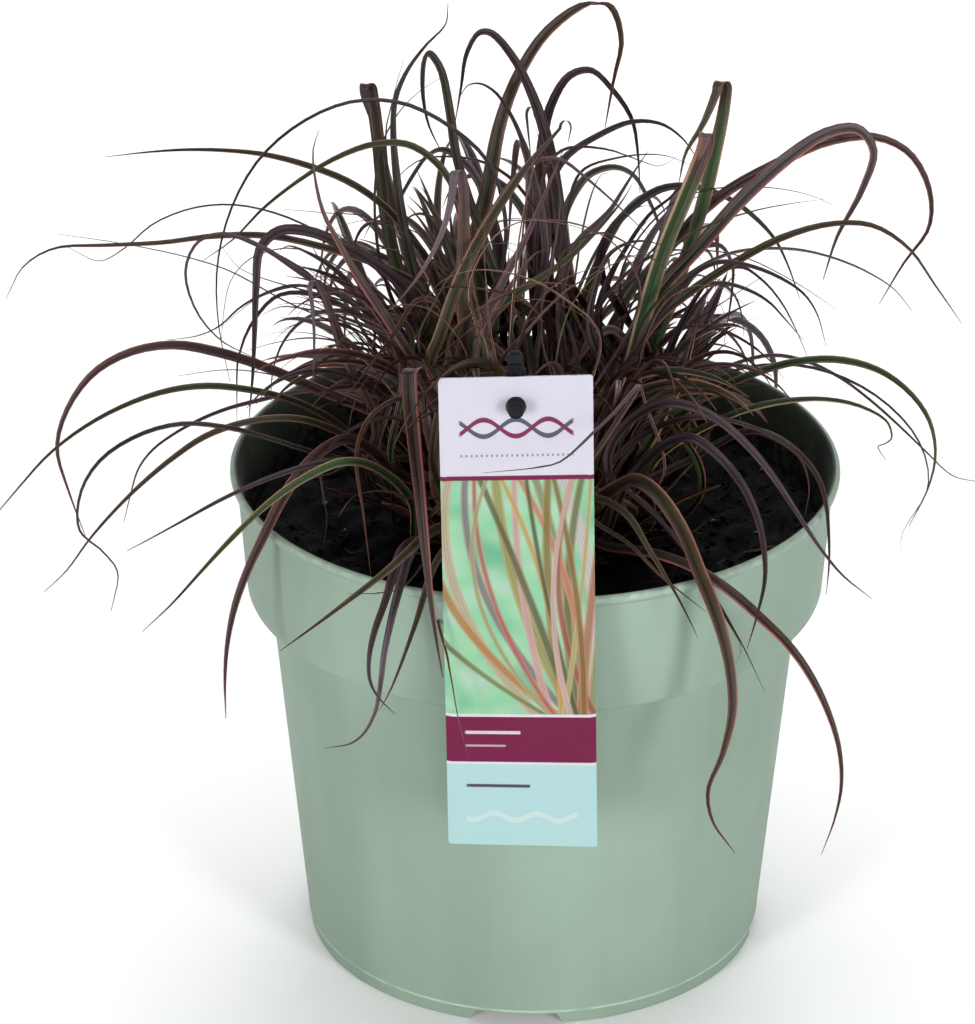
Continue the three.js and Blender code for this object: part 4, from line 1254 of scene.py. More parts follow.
# Broad leaves that stay in view: where they show in the picture, how far off, and half how wide.
# Only what shows above a mark and is not too thin counts.
KEPT_IN_VIEW = []
BROAD = 2.2
KEPT_ABOVE = 350
KEPT_HALF_WIDTH = 0.6


def keep_in_view(blade):
    """Notes where a broad leaf shows, so that no filling leaf wider than a slim one is grown before it."""
    marks = in_picture(blade.stations)
    far = (blade.stations - EYE) @ AHEAD
    part = np.column_stack([marks, far, blade.half * VIEW_SCALE])
    KEPT_IN_VIEW.append(part[(marks[:, 1] < KEPT_ABOVE) & (blade.half > KEPT_HALF_WIDTH)])


def shown_blade(line, width, seen, tone, draw, cover, bent, **shape):
    """A blade that shows a seen width from the front. Where it is bent, it folds over at its top."""
    side = side_of(line)
    if bent:
        line = folded(line, cover)
        side = FACING
        width = 1.02 * seen
        shape["groove"] = FLAT_GROOVE
    blade = Blade(line, side, width, TONES[tone], seen / width, draw, bent=bent, **shape)
    if seen > BROAD:
        keep_in_view(blade)
    return blade


def make_frame_leaves(finish):
    """The frame's own leaves, each redrawn along its midline."""
    draw = random.Random(FRAME_LEAF_SEED)
    for side, looks in FRAME_LOOKS.items():
        for i, (seen, tone, taper) in enumerate(looks, 1):
            node = f"leaf_{side}_{i}"
            line, width = frame_leaf(node)
            width = max(1.08 * seen, 0.5 * seen + 0.42 * width)
            cover, bent = FOLDS.get(node, (0, 0))
            blade = shown_blade(line, width, seen, tone, draw, cover, bent, taper=taper)
            add_blades(f"blade_{side}_{i}", [blade], finish, stands_for=[node])


# More leaves that the picture shows, by group: the width that shows, depths at half length and at
# the tip, tone, and the marks that the midrib passes in the picture from the clump to the tip
SEEN_LEAVES = {
    "blades_upper_left_small": [
        (0.5, (40, 60), "dark", [
            (425, 330), (392, 200), (386, 130), (391, 107), (397, 82), (403, 61), (403, 47),
        ]),
        (0.6, (30, 50), "dark", [(380, 260), (378, 160), (395, 118), (420, 91), (448, 74)]),
        (1.9, (0, -20), "dark", [
            (400, 360), (330, 300), (280, 295), (251, 325), (238, 361), (237, 388), (237, 425),
        ]),
        (0.5, (20, 40), "purple", [
            (420, 360), (340, 325), (287, 302), (230, 271), (187, 257), (120, 243), (58, 234),
        ]),
        (3.2, (-34, -30), "grey", [
            (440, 400), (414, 360), (393, 329), (372, 298), (353, 269), (337, 240), (324, 215), (316, 185),
            (313, 150), (319, 130),
        ]),
        (3.4, (4, 12), "rust", [(385, 410), (345, 350), (330, 312), (312, 279), (290, 262), (262, 246)]),
        (3.6, (14, 24), "purple", [(400, 350), (366, 308), (341, 275), (310, 254), (289, 246), (280, 250)]),
        (2.0, (-20, -16), "leafy", [(410, 330), (374, 310), (350, 308), (324, 303), (296, 296)]),
        (0.8, (-6, -10), "rust", [(370, 304), (307, 286), (262, 296), (235, 315), (220, 328)]),
        (0.8, (0, 10), "dark", [(400, 330), (340, 300), (295, 288), (259, 277), (238, 267), (223, 248)]),
        (0.6, (-10, -20), "purple", [
            (400, 320), (330, 262), (290, 248), (255, 256), (240, 267), (229, 284), (223, 317),
            (221, 343),
        ]),
        (1.6, (-20, -30), "grey", [(400, 350), (350, 320), (305, 309), (280, 307), (258, 317)]),
        (0.9, (-20, -30), "olive", [(400, 370), (350, 345), (312, 338), (274, 343), (246, 351)]),
        (0.5, (-10, -20), "olive", [(380, 420), (310, 385), (250, 371), (221, 370), (177, 376)]),
        (0.7, (10, 20), "dark", [(430, 260), (370, 218), (328, 213), (305, 211), (282, 209)]),
        (1.4, (40, 50), "red", [
            (560, 270), (520, 188), (488, 164), (456, 157), (423, 159), (402, 173), (385, 198),
        ]),
    ],
    "blades_top_small": [
        (1.5, (30, 45), "dark", [
            (540, 300), (538, 220), (548, 165), (565, 149), (605, 149), (641, 161), (660, 166), (678, 156),
        ]),
        (1.4, (20, 30), "dark", [(560, 300), (566, 220), (581, 172), (617, 158), (662, 155), (694, 166)]),
        (1.8, (40, 56), "dark", [
            (600, 300), (625, 250), (650, 214), (671, 197), (691, 172), (698, 152), (694, 140),
        ]),
    ],
    "blades_right_small": [
        (0.7, (20, 30), "dark", [(600, 330), (640, 275), (683, 252), (737, 255), (795, 282), (836, 309)]),
        (0.8, (10, 20), "dark", [(600, 380), (650, 335), (696, 326), (741, 338), (760, 350)]),
        (2.2, (40, 60), "purple", [
            (640, 330), (680, 260), (718, 245), (732, 265), (732, 288), (728, 319), (724, 344),
        ]),
        (0.6, (20, 20), "dark", [(620, 380), (660, 345), (695, 321), (766, 274)]),
        (0.9, (20, 30), "moss", [(640, 290), (690, 235), (750, 212), (795, 203), (827, 199)]),
        (0.7, (30, 40), "dark", [
            (620, 280), (670, 205), (712, 189), (750, 187), (783, 189), (816, 197), (833, 205),
        ]),
        (0.5, (30, 40), "dark", [(640, 270), (700, 212), (733, 184), (750, 172), (776, 158)]),
        (1.4, (20, 26), "dark", [
            (640, 360), (690, 290), (739, 267), (762, 280), (783, 305), (803, 346), (810, 365),
        ]),
        (1.5, (10, 16), "red", [(640, 380), (670, 335), (693, 326), (727, 332), (766, 357), (785, 380)]),
        (1.2, (0, 6), "dark", [(630, 400), (660, 360), (685, 350), (712, 344), (739, 352), (760, 374)]),
    ],
    "blades_lower_right_small": [
        (0.9, (20, 10), "dark", [
            (650, 420), (729, 372), (803, 366), (872, 393), (918, 440), (928, 486), (902, 534),
            (901, 552),
        ]),
        (1.6, (-70, -104), "olive", [
            (560, 480), (594, 521), (629, 544), (661, 576), (687, 597), (708, 613),
        ]),
        (1.2, (-70, -106), "dark", [
            (600, 470), (660, 520), (700, 570), (717, 600), (745, 650), (765, 693),
        ]),
        (0.8, (-66, -100), "dark", [(610, 480), (680, 545), (729, 624), (741, 648), (736, 664)]),
    ],
    "blades_lower_left_small": [
        (1.1, (-40, -60), "red", [(400, 420), (350, 430), (322, 461), (324, 499), (327, 517), (323, 549)]),
        (1.6, (-55, -80), "olive", [(405, 400), (372, 415), (357, 450), (364, 517), (371, 576)]),
        (1.2, (-50, -65), "olive", [
            (440, 500), (410, 499), (390, 492), (370, 492), (352, 498), (338, 517),
        ]),
        (0.8, (-97, -100), "dark", [(425, 560), (401, 588), (379, 593), (347, 594)]),
    ],
    "blades_folded_small": [
        (3.9, (-26, -40), "grey", [
            (464, 330), (463, 270), (464, 215), (463, 185), (459, 169), (454, 177), (452, 195), (447, 218),
            (438, 242), (424, 268), (408, 290), (390, 310),
        ]),
        (2.8, (60, 74), "grey", [
            (566, 300), (560, 220), (553, 170), (545, 138), (537, 118), (530, 105), (527, 109), (528, 130),
            (530, 148), (531, 164),
        ]),
        (3.8, (-28, 36), "flame", [
            (432, 370), (441, 333), (455, 292), (469, 260), (491, 219), (512, 187), (530, 162), (549, 141),
            (563, 125), (570, 119), (571, 127), (568, 143),
        ]),
        (2.8, (-24, -40), "grey", [
            (372, 410), (345, 358), (332, 317), (322, 290), (314, 279), (310, 286), (312, 303), (314, 327),
            (314, 358), (312, 385),
        ]),
    ],
    "blades_centre_small": [
        (2.9, (-20, 5), "grey", [(480, 345), (499, 290), (524, 242), (542, 201), (555, 171), (564, 148)]),
        (3.0, (-15, 20), "moss", [
            (470, 345), (481, 329), (509, 299), (560, 265), (586, 242), (620, 204), (632, 185),
        ]),
        (2.6, (-20, -10), "dark", [(585, 400), (579, 372), (570, 329), (556, 299)]),
        (2.2, (-35, -50), "olive", [
            (450, 330), (432, 300), (416, 301), (393, 335), (367, 370), (340, 404),
        ]),
        (3.0, (-30, -20), "grey", [(480, 350), (492, 320), (512, 284), (535, 254), (545, 250)]),
        (1.5, (-101, -104), "grey", [
            (640, 385), (612, 415), (594, 432), (560, 462), (540, 467), (483, 473),
        ]),
        (0.7, (-100, -106), "tan", [(440, 600), (448, 660), (453, 688), (458, 717), (468, 757)]),
        (1.3, (-30, -36), "olive", [
            (540, 320), (520, 300), (505, 293), (471, 288), (443, 288), (428, 297), (415, 320),
        ]),
        (1.4, (-35, -30), "moss", [(450, 345), (456, 329), (484, 307), (530, 285), (567, 285), (600, 296)]),
        (1.2, (-32, -20), "grey", [(500, 370), (528, 330), (567, 290), (592, 275), (620, 252)]),
        (2.4, (-38, -30), "yellow", [(485, 350), (477, 325), (470, 305), (464, 292)]),
        (0.8, (-20, -20), "red", [(460, 260), (496, 223), (535, 221), (560, 221), (592, 229)]),
    ],
    "blades_crossing_threads": [
        (0.6, (-42, -46), "tan", [(480, 330), (474, 290), (471, 262), (470, 238)]),
        (0.7, (-44, -48), "tan", [(490, 330), (486, 285), (484, 250), (485, 222)]),
        (0.6, (-34, -30), "tan", [(512, 320), (519, 240), (527, 196), (533, 169), (533, 142)]),
        (0.6, (-40, -44), "tan", [(470, 300), (492, 240), (520, 222), (552, 222), (584, 229), (606, 238)]),
        (0.5, (-36, -38), "grey", [(640, 300), (620, 250), (584, 226), (540, 219), (500, 220), (476, 230)]),
        (0.7, (-44, -50), "tan", [(520, 340), (540, 300), (560, 282), (586, 270), (612, 264)]),
        (0.6, (-40, -46), "yellow", [(560, 340), (575, 300), (600, 272), (632, 256), (660, 250)]),
        (0.6, (-46, -52), "tan", [(600, 340), (560, 296), (520, 276), (478, 270), (444, 280), (424, 300)]),
        (0.5, (-40, -50), "grey", [(420, 350), (436, 300), (462, 262), (494, 244), (520, 246), (534, 262)]),
        (0.6, (-46, -54), "tan", [(640, 380), (650, 330), (668, 300), (694, 286), (722, 288), (744, 304)]),
        (0.6, (-46, -54), "tan", [(400, 380), (384, 330), (360, 300), (334, 292), (310, 300), (296, 318)]),
        (0.6, (-30, -34), "grey", [(540, 330), (552, 260), (560, 200), (552, 164), (536, 150)]),
        (0.5, (-44, -50), "tan", [(430, 380), (470, 330), (520, 300), (566, 306), (600, 330)]),
        (0.6, (-42, -48), "yellow", [(470, 370), (452, 330), (426, 308), (396, 306), (372, 322)]),
    ],
    "blades_right_middle": [
        (3.8, (-12, -4), "leafy", [(640, 460), (655, 430), (668, 404), (679, 385), (690, 350), (698, 318)]),
        (2.5, (0, 10), "purple", [(590, 330), (596, 285), (608, 256), (625, 244), (645, 241), (664, 246)]),
        (1.9, (6, 14), "dark", [(600, 330), (604, 290), (617, 262), (632, 256), (641, 268)]),
        (2.9, (4, 8), "dark", [(655, 400), (672, 345), (698, 295), (718, 272), (733, 258)]),
        (1.0, (-18, -14), "olive", [
            (560, 260), (600, 233), (628, 244), (653, 259), (684, 284), (693, 306),
        ]),
        (1.3, (-16, -16), "grey", [(640, 430), (690, 405), (713, 398), (730, 394), (749, 396)]),
        (2.0, (30, 40), "red", [(540, 300), (549, 240), (545, 190), (541, 150), (536, 128)]),
    ],
}

# How much of a leaf, in pixels, lies between the clump and its first mark
PICTURE_LEAD = 60


def depth_along(foot, middle, tip, share):
    """Depth from the foot through the middle depth to the tip depth."""
    return (
        2 * (share - 0.5) * (share - 1) * foot
        + 4 * share * (1 - share) * middle
        + 2 * share * (share - 0.5) * tip
    )


def traced_line(marks, depths, draw):
    """A midline from the clump through the seen marks."""
    marks = np.asarray(marks, float)
    steps = np.linalg.norm(np.diff(marks, axis=0), axis=1)
    shares = (np.concatenate([[0], np.cumsum(steps)]) + PICTURE_LEAD) / (steps.sum() + PICTURE_LEAD)
    reach = at_depth(marks[len(marks) // 2], depths[0])
    turn = math.atan2(reach[1], reach[0]) + draw.uniform(-0.4, 0.4)
    slope = min(1.3, 0.012 * math.hypot(reach[0], reach[1]) + draw.uniform(0.1, 0.35))
    foot = crown_point(turn, slope)
    neck = crown_point(turn, slope, 6)
    points = [
        at_depth(mark, depth_along(foot[1], *depths, share)) for mark, share in zip(marks, shares)
    ]
    rise = unit(unit(neck - foot) + unit(points[0] - neck))
    shoulder = neck + rise * 0.34 * np.linalg.norm(points[0] - neck)
    return np.array([foot, neck, shoulder, *points])


def make_seen_leaves(finish):
    """The further leaves that the picture shows, a piece for each group."""
    draw = random.Random(SEEN_LEAF_SEED)
    for name, leaves in SEEN_LEAVES.items():
        bent = int(name == "blades_folded_small")
        blades = []
        for seen, depths, tone, marks in leaves:
            line = traced_line(marks, depths, draw)
            width = max(1.1 * seen, 0.6 * seen + 0.7)
            blades.append(shown_blade(line, width, seen, tone, draw, 0, bent, count=SMALL_STATIONS))
        add_blades(name, blades, finish)


# Leaves that fill the clump: each grows out of the dome and bends over under its own weight.
# In the picture they stay inside the outline of the clump's dense middle.
DENSE_OUTLINE = [
    (235, 420), (262, 330), (290, 262), (326, 200), (380, 150), (440, 128), (500, 112), (560, 112),
    (620, 130), (668, 155), (705, 195), (735, 262), (772, 330), (800, 400), (765, 436), (700, 436),
    (640, 470), (590, 480), (440, 480), (380, 452), (300, 446),
]
GROWN_STATIONS = 26

# Room that a grown leaf needs, in millimetres: inside the frame's box, over the soil and within which
# radius, about the pot's rim and over it, and how low it may hang outside the pot
BOX_ROOM = 3
SOIL_ROOM = 3.5
SOIL_ROOM_RADIUS = 90
RIM_INSIDE = 84
RIM_OUTSIDE = 99
RIM_ROOM = 3
LOWEST_TIP = 60

# Where the pot hides a leaf that hangs down behind it: how far back, and how far below the rim
HIDDEN_DEPTH = 60
HIDDEN_DROP = 8

# How often a group looks for each leaf's place, and how wide a leaf may be before a broad one
TRIES_PER_LEAF = 60
SLIM = 1.6


def inside_outline(marks, outline):
    """Whether each mark lies inside an outline."""
    inside = np.zeros(len(marks), bool)
    x, y = marks[:, 0], marks[:, 1]
    for (x0, y0), (x1, y1) in zip(outline, outline[1:] + outline[:1]):
        crosses = (y0 > y) != (y1 > y)
        with np.errstate(divide="ignore", invalid="ignore"):
            inside ^= crosses & (x < x0 + (x1 - x0) * (y - y0) / (y1 - y0))
    return inside


def grown_line(draw, turn, slope, length, droop, power):
    """A leaf's midline as it grows and droops."""
    point = crown_point(turn, slope)
    way = turn + draw.uniform(-0.5, 0.5)
    drift = draw.uniform(-0.8, 0.8)
    lean = slope * draw.uniform(0.3, 0.6)
    line = [point]
    for i in range(GROWN_STATIONS):
        share = (i + 0.5) / GROWN_STATIONS
        head = heading(lean + droop * share ** power, way + drift * share)
        point = point + head * length / GROWN_STATIONS
        line.append(point)
    return np.array(line)


def hides_broad(line, width):
    """Whether a grown leaf passes before a broad leaf that stays in view."""
    marks = in_picture(line)
    far = (line - EYE) @ AHEAD
    kept = np.concatenate(KEPT_IN_VIEW)
    apart = np.hypot(marks[:, :1] - kept[:, 0], marks[:, 1:] - kept[:, 1])
    close = apart < kept[:, 3] + 0.5 * width * VIEW_SCALE + 1
    return (close & (far[:, None] < kept[:, 2])).any(axis=1).sum() > 1


def has_room(line):
    """Whether a grown leaf keeps off the pot and the soil, in the frame's box and in the outline."""
    low = np.array(cad_low) / MM + BOX_ROOM
    high = np.array(cad_high) / MM - BOX_ROOM
    radius = np.hypot(line[:, 0], line[:, 1])
    height = line[:, 2]
    on_rim = (radius > RIM_INSIDE) & (radius < RIM_OUTSIDE) & (height < POT_HEIGHT + RIM_ROOM)
    buried = (radius[4:] < SOIL_ROOM_RADIUS) & (height[4:] < SOIL_HEIGHT + SOIL_ROOM)
    too_low = (radius >= RIM_OUTSIDE) & (height < LOWEST_TIP)
    if not ((line > low) & (line < high)).all() or on_rim.any() or buried.any() or too_low.any():
        return False
    behind_pot = (line[2:, 1] > HIDDEN_DEPTH) & (height[2:] < POT_HEIGHT - HIDDEN_DROP)
    return bool((inside_outline(in_picture(line[2:]), DENSE_OUTLINE) | behind_pot).all())


def grow_leaves(count, seed, lengths, widths, turns, slopes, droops, tones):
    """Grown leaves that have room. Turns and slopes say where on the clump they start."""
    draw = random.Random(seed)
    blades = []
    tries = 0
    while len(blades) < count and tries < TRIES_PER_LEAF * count:
        tries += 1
        turn = draw.uniform(*turns)
        slope = math.acos(1 - 0.93 * draw.uniform(*slopes))
        length = draw.uniform(*lengths)
        droop = draw.uniform(*droops)
        line = grown_line(draw, turn, slope, length, droop, draw.uniform(1.4, 2.6))
        width = draw.uniform(*widths)
        if not has_room(line) or (width > SLIM and hides_broad(line, width)):
            continue
        tone = TONES[draw.choice(tones)]
        shown = draw.uniform(0.2, 0.9)
        taper = draw.uniform(0.45, 0.8)
        blades.append(Blade(
            line, side_of(line), width, tone, shown, draw, taper=taper, count=FILL_STATIONS
        ))
    return blades


# Turns round the clump, from one to the other
ALL_ROUND = (0, 2 * math.pi)
FRONT = (math.pi, 2 * math.pi)
FRONT_LEFT = (math.pi, 1.5 * math.pi)
FRONT_RIGHT = (1.5 * math.pi, 2 * math.pi)
BACK_LEFT = (0.5 * math.pi, math.pi)
BACK_RIGHT = (0, 0.5 * math.pi)

# Groups of grown leaves: how many, seed, lengths, widths, turns, slopes and droops
FILL_GROUPS = {
    "blades_fill_front_left": (22, 31, (70, 150), (2.2, 4.0), FRONT_LEFT, (0.1, 1), (0.9, 2.4)),
    "blades_fill_front_right": (22, 32, (70, 150), (2.2, 4.0), FRONT_RIGHT, (0.1, 1), (0.9, 2.4)),
    "blades_fill_back_left": (20, 33, (110, 210), (2.4, 4.2), BACK_LEFT, (0.1, 1), (1.2, 2.8)),
    "blades_fill_back_right": (20, 34, (110, 210), (2.4, 4.2), BACK_RIGHT, (0.1, 1), (1.2, 2.8)),
    "blades_fill_middle": (16, 35, (90, 150), (2.4, 4.2), ALL_ROUND, (0, 0.5), (0.3, 1.6)),
    "blades_fill_short": (70, 37, (45, 95), (2.4, 4.2), ALL_ROUND, (0.1, 0.9), (0.2, 1.3)),
    "blades_fill_thin": (24, 36, (70, 190), (1.0, 1.6), ALL_ROUND, (0, 1), (0.6, 2.6)),
    "blades_fill_threads": (30, 38, (50, 130), (0.5, 1.0), ALL_ROUND, (0.05, 1), (0.8, 2.6)),
    "blades_fill_front_threads": (30, 39, (55, 120), (0.6, 1.0), FRONT, (0.3, 1), (0.5, 2.2)),
}
FILL_TONES = [
    "dark", "rust", "rust", "ink", "ink", "red", "flame", "purple", "olive", "olive", "grey", "moss",
    "leafy",
]
THREAD_TONES = ["tan", "tan", "rust", "grey", "yellow"]


def make_fill_leaves(finish):
    """The leaves that fill the clump, a piece for each group."""
    for name, group in FILL_GROUPS.items():
        tones = THREAD_TONES if "threads" in name else FILL_TONES
        add_blades(name, grow_leaves(*group, tones), finish)


SHEATHS = 150
SHEATH_STEPS = 6
SHEATH_TONES = ["olive", "rust", "dark", "moss"]
DRY_SHARE = 0.3
GOLDEN_TURN = math.pi * (3 - math.sqrt(5))


def make_crown(leaf, straw):
    """The clump's foot: sheaths round the leaf bases, with dry ones among them."""
    draw = random.Random(SHEATH_SEED)
    green_ones = []
    dry_ones = []
    for i in range(SHEATHS):
        slope = math.acos(1 - 0.97 * (i + 0.5) / SHEATHS)
        turn = i * GOLDEN_TURN * 1.7 + draw.uniform(-0.1, 0.1)
        length = draw.uniform(16, 44)
        line = [crown_point(turn, slope, -5)]
        lean = slope * draw.uniform(0.35, 0.75)
        for k in range(SHEATH_STEPS):
            tilt = lean + draw.uniform(-0.05, 0.12) + 0.05 * k
            line.append(line[-1] + heading(tilt, turn) * length / SHEATH_STEPS)
        ones = dry_ones if draw.random() < DRY_SHARE else green_ones
        tone = TONES[draw.choice(SHEATH_TONES)]
        side = np.array([-math.sin(turn), math.cos(turn), 0])
        ones.append(Blade(
            np.array(line), side, draw.uniform(4.5, 7.5), tone, 0, draw,
            taper=0.3, foot=0.9, groove=2.2, count=SHEATH_STATIONS,
        ))
    add_blades("crown_sheaths", green_ones, leaf, ["crown"])
    add_blades("crown_dry_sheaths", dry_ones, straw)


# Tag
def tag_place(local, lean):
    """Carries points from the tag's own axes, with the hole's middle at their origin, to their place."""
    x, y, z = np.asarray(local, float).T
    z, x = spun(z, x, -TAG_ROLL)
    y, z = spun(y, z, -lean)
    return np.stack([x, y, z], axis=1) + at_depth(TAG_HOLE_MARK, TAG_HOLE_DEPTH)


def tag_bend(points):
    """Gives the card its slight twist and bow, none of it at the hole."""
    share = (points[:, 2] - TAG_FOOT) / TAG_LENGTH
    twist = TAG_TWIST_FOOT + (TAG_TWIST_TOP - TAG_TWIST_FOOT) * share
    points[:, 1] += points[:, 0] * np.sin(twist)
    points[:, 1] -= TAG_BOW * np.sin(math.pi * np.clip(share, 0, 1)) * ease(-points[:, 2], 0, 60)
    return points


def arc_points(middle, radius, start, end, count):
    arms = [on_circle(radius, turn) for turn in np.linspace(start, end, count)]
    return [(middle[0] + x, middle[1] + z) for x, z in arms]


def card_outline():
    """The card's outline with its rounded corners, from the lower right one round."""
    half = TAG_WIDTH / 2 - TAG_CORNER
    low = TAG_FOOT + TAG_CORNER
    high = TAG_HOLE_DROP - TAG_CORNER
    outline = []
    for quarter, middle in enumerate([(half, low), (half, high), (-half, high), (-half, low)], -1):
        start = quarter * math.pi / 2
        outline += arc_points(middle, TAG_CORNER, start, start + math.pi / 2, 8)
    return outline


def card_sheet():
    """The flat card with its hole, as points and triangles, with a grid of points to bend it by."""
    outline = card_outline()
    hole = arc_points((0, 0), TAG_HOLE_RADIUS, 0, 2 * math.pi, 41)[:-1]
    flat = outline + hole
    edges = [(i, (i + 1) % len(outline)) for i in range(len(outline))]
    edges += [(len(outline) + i, len(outline) + (i + 1) % len(hole)) for i in range(len(hole))]
    for z in np.arange(TAG_FOOT + TAG_GRID, TAG_HOLE_DROP - 1, TAG_GRID):
        for x in np.arange(-TAG_WIDTH / 2 + 2.3, TAG_WIDTH / 2 - 1, TAG_GRID):
            if math.hypot(x, z) > TAG_HOLE_RADIUS + 1:
                flat.append((x, z))
    flat = [Vector(point) for point in flat]
    corners, _, triangles, *_ = geometry.delaunay_2d_cdt(flat, edges, [], 1, 1e-5)
    corners = np.array([corner[:] for corner in corners])
    clear = TAG_HOLE_RADIUS * 0.99
    return corners, [t for t in triangles if np.linalg.norm(corners[list(t)].mean(axis=0)) > clear]


def make_tag():
    """The printed card: its sheet in front and behind, closed along every edge that one face uses."""
    corners, triangles = card_sheet()
    count = len(corners)
    front = np.stack([corners[:, 0], np.full(count, -TAG_THICKNESS / 2), corners[:, 1]], axis=1)
    back = front + (0, TAG_THICKNESS, 0)
    faces = [list(t) for t in triangles] + [[count + k for k in t][::-1] for t in triangles]
    uses = {}
    for a, b, c in triangles:
        for pair in ((a, b), (b, c), (c, a)):
            uses.setdefault(tuple(sorted(pair)), []).append(pair)
    faces += [[b, a, count + a, count + b] for (a, b), *more in uses.values() if not more]
    points = tag_place(tag_bend(np.concatenate([front, back])), TAG_LEAN)
    mesh = add_piece("tag_card", points, faces, [print_finish()], ["tag"]).data
    fix_normals(mesh)
    layer = mesh.uv_layers.new(name="card")
    for loop in mesh.loops:
        x, z = corners[loop.vertex_index % count]
        layer.data[loop.index].uv = (x / TAG_WIDTH + 0.5, (z - TAG_FOOT) / TAG_LENGTH)
    set_attribute(mesh, "front", [1] * count + [0] * count)
    sharpen(mesh, SHARP_ANGLE)


# Stake
STAKE_SIDES = 72
PEG_SIDES = 40

# The stake's head with its flared shoulders, raised frame and rounded top: how far below the top, what
# is added to half the width and to half the thickness, and how high the ridges stand
STAKE_HEAD_RINGS = [
    (20.5, 0, 0, 0.3), (17, 0.55, 0, 0.35), (12, 0.62, 0, 0.4), (9.2, 0.5, 0, 0.45), (7.4, 0.05, 0, 0.5),
    (5.2, -0.35, 0, 0.5), (4.5, -0.42, 0.05, 0.5), (4.2, -0.44, 0.42, 0.2), (3.5, -0.5, 0.46, 0.1),
    (3.2, -0.52, 0.1, 0), (2.0, -0.62, 0.02, 0), (1.1, -0.85, -0.15, 0), (0.5, -1.2, -0.4, 0),
    (0.15, -1.65, -0.75, 0), (0.0, -2.2, -1.2, 0),
]

# The peg through the card: radius, and depth behind the card's middle
CARD_FACE = TAG_THICKNESS / 2
PEG_RINGS = [
    (0.01, PEG_SHANK + STAKE_THICKNESS / 2),
    (PEG_RADIUS, PEG_SHANK + STAKE_THICKNESS / 2),
    (PEG_RADIUS + 0.3, CARD_FACE + 0.15),
    (TAG_HOLE_RADIUS - 0.2, CARD_FACE - 0.1),
    (TAG_HOLE_RADIUS - 0.12, -CARD_FACE - 0.1),
    (TAG_HOLE_RADIUS - 0.14, -CARD_FACE - 0.5),
    (2.62, -CARD_FACE - 1.6),
    (2.46, -CARD_FACE - 3.0),
    (2.34, -CARD_FACE - 4.2),
    (2.27, -CARD_FACE - 4.7),
    (2.1, -CARD_FACE - 4.95),
    (1.8, -CARD_FACE - 5.02),
    (1.5, -CARD_FACE - 4.8),
    (0.01, -CARD_FACE - 4.75),
]


def stake_ring(height, half_width, half_depth, ridge=0.0):
    """A rounded-oblong section of the stake, with two low ridges down its front."""
    middle_depth = TAG_THICKNESS / 2 + PEG_SHANK + STAKE_THICKNESS / 2
    ring = []
    for i in range(STAKE_SIDES):
        cosine, sine = on_circle(1, 2 * math.pi * i / STAKE_SIDES)
        x = half_width * math.copysign(abs(cosine) ** 0.5, cosine)
        y = half_depth * math.copysign(abs(sine) ** 0.5, sine)
        if y < 0:
            y -= ridge * math.exp(-(((abs(x) - 1.2) / 0.35) ** 2))
        ring.append((x, middle_depth + y, height + PEG_RISE))
    return ring


def stake_bar():
    """The stake's rings of points, from its pointed foot to its head."""
    half = STAKE_WIDTH / 2
    depth = STAKE_THICKNESS / 2
    foot = STAKE_HEAD - STAKE_LENGTH
    rings = [stake_ring(foot, 0.25, 0.5)]
    for share in (0.25, 0.6, 1):
        rings.append(stake_ring(foot + STAKE_POINT * share, half * share, depth * (0.5 + 0.5 * share)))
    for height in np.linspace(foot + STAKE_POINT + 4, -6, 16):
        rings.append(stake_ring(height, half, depth, 0.3))
    for drop, width, thick, ridge in STAKE_HEAD_RINGS:
        rings.append(stake_ring(STAKE_HEAD - drop, half + width, depth + thick, ridge))
    return rings


def peg_ring(radius, depth):
    arms = [on_circle(radius, 2 * math.pi * i / PEG_SIDES) for i in range(PEG_SIDES)]
    return [(x, depth, PEG_RISE * 0.4 + z) for x, z in arms]


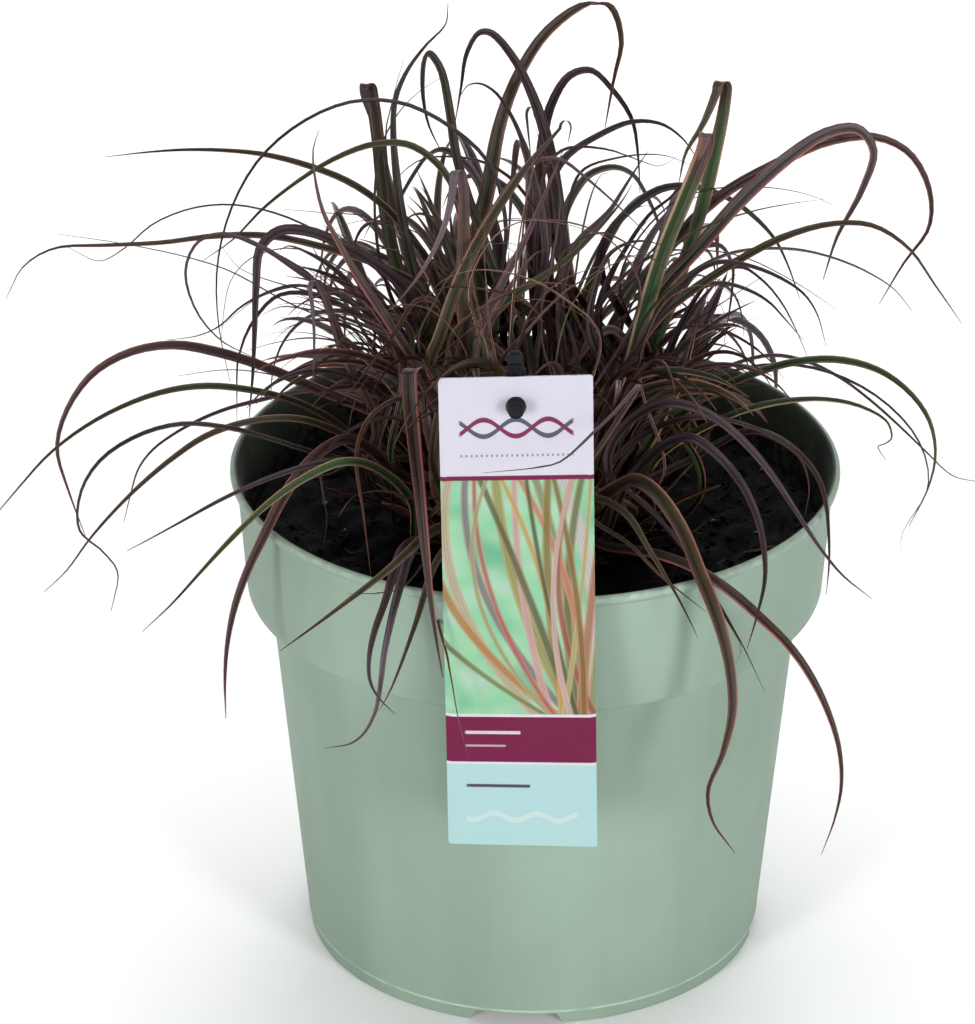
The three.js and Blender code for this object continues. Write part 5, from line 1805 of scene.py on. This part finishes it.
def make_stake():
    """The stake and its peg: the bar stands upright behind the leaning card, and the peg square to it."""
    bar = stake_bar()
    peg = [peg_ring(*ring) for ring in PEG_RINGS]
    points = np.concatenate([
        tag_place(np.concatenate(bar), -STAKE_LEAN), tag_place(np.concatenate(peg), TAG_LEAN)
    ])
    faces = skin_faces(len(bar), STAKE_SIDES) + skin_faces(len(peg), PEG_SIDES, len(bar) * STAKE_SIDES)
    stake = add_piece("tag_stake_body", points, faces, [stake_finish()], ["tag_stake"])
    fix_normals(stake.data)
    sharpen(stake.data, STAKE_SHARP_ANGLE)


# Camera, floor and lights
def make_camera():
    """A camera that frames the object as the picture does."""
    camera = bpy.data.objects.new("view_camera", bpy.data.cameras.new("view_camera"))
    bpy.context.scene.collection.objects.link(camera)
    camera.data.sensor_width = SENSOR
    camera.data.lens = VIEW_FOCAL * SENSOR / PICTURE_HEIGHT
    camera.data.clip_start = 0.05
    camera.data.clip_end = 20
    camera.location = Vector(EYE) * MM
    camera.rotation_mode = "QUATERNION"
    camera.rotation_quaternion = Vector(AHEAD).to_track_quat("-Z", "Y")
    bpy.context.scene.camera = camera


def make_floor():
    """A round floor whose edge curves up into a low backdrop all round."""
    points, faces = turned(FLOOR_OUTLINE, FLOOR_SIDES)
    mesh = bpy.data.meshes.new("studio_floor")
    mesh.from_pydata((np.array(points) * MM).tolist(), [], faces)
    mesh.materials.append(floor_finish().material)
    floor = bpy.data.objects.new("studio_floor", mesh)
    bpy.context.scene.collection.objects.link(floor)


def make_lights():
    """Softboxes that no camera sees, and a faint even world."""
    for name, (place, aim, size, power) in SOFTBOXES.items():
        light = bpy.data.objects.new(name, bpy.data.lights.new(name, "AREA"))
        bpy.context.scene.collection.objects.link(light)
        light.data.shape = "RECTANGLE"
        light.data.size, light.data.size_y = size
        light.data.energy = power
        light.visible_camera = False
        light.location = place
        light.rotation_mode = "QUATERNION"
        light.rotation_quaternion = (Vector(aim) - Vector(place)).to_track_quat("-Z", "Y")
    world = bpy.data.worlds.new("studio_world")
    world.use_nodes = True
    background = world.node_tree.nodes["Background"]
    background.inputs["Color"].default_value = (1, 1, 1, 1)
    background.inputs["Strength"].default_value = WORLD_STRENGTH
    bpy.context.scene.world = world
    bpy.context.scene.view_settings.view_transform = "Standard"


make_camera()
make_floor()
make_lights()
make_pot()
make_soil()
make_soil_cover()
leaf = leaf_finish()
make_crown(leaf, straw_finish())
make_frame_leaves(leaf)
make_seen_leaves(leaf)
make_fill_leaves(leaf)
make_tag()
make_stake()
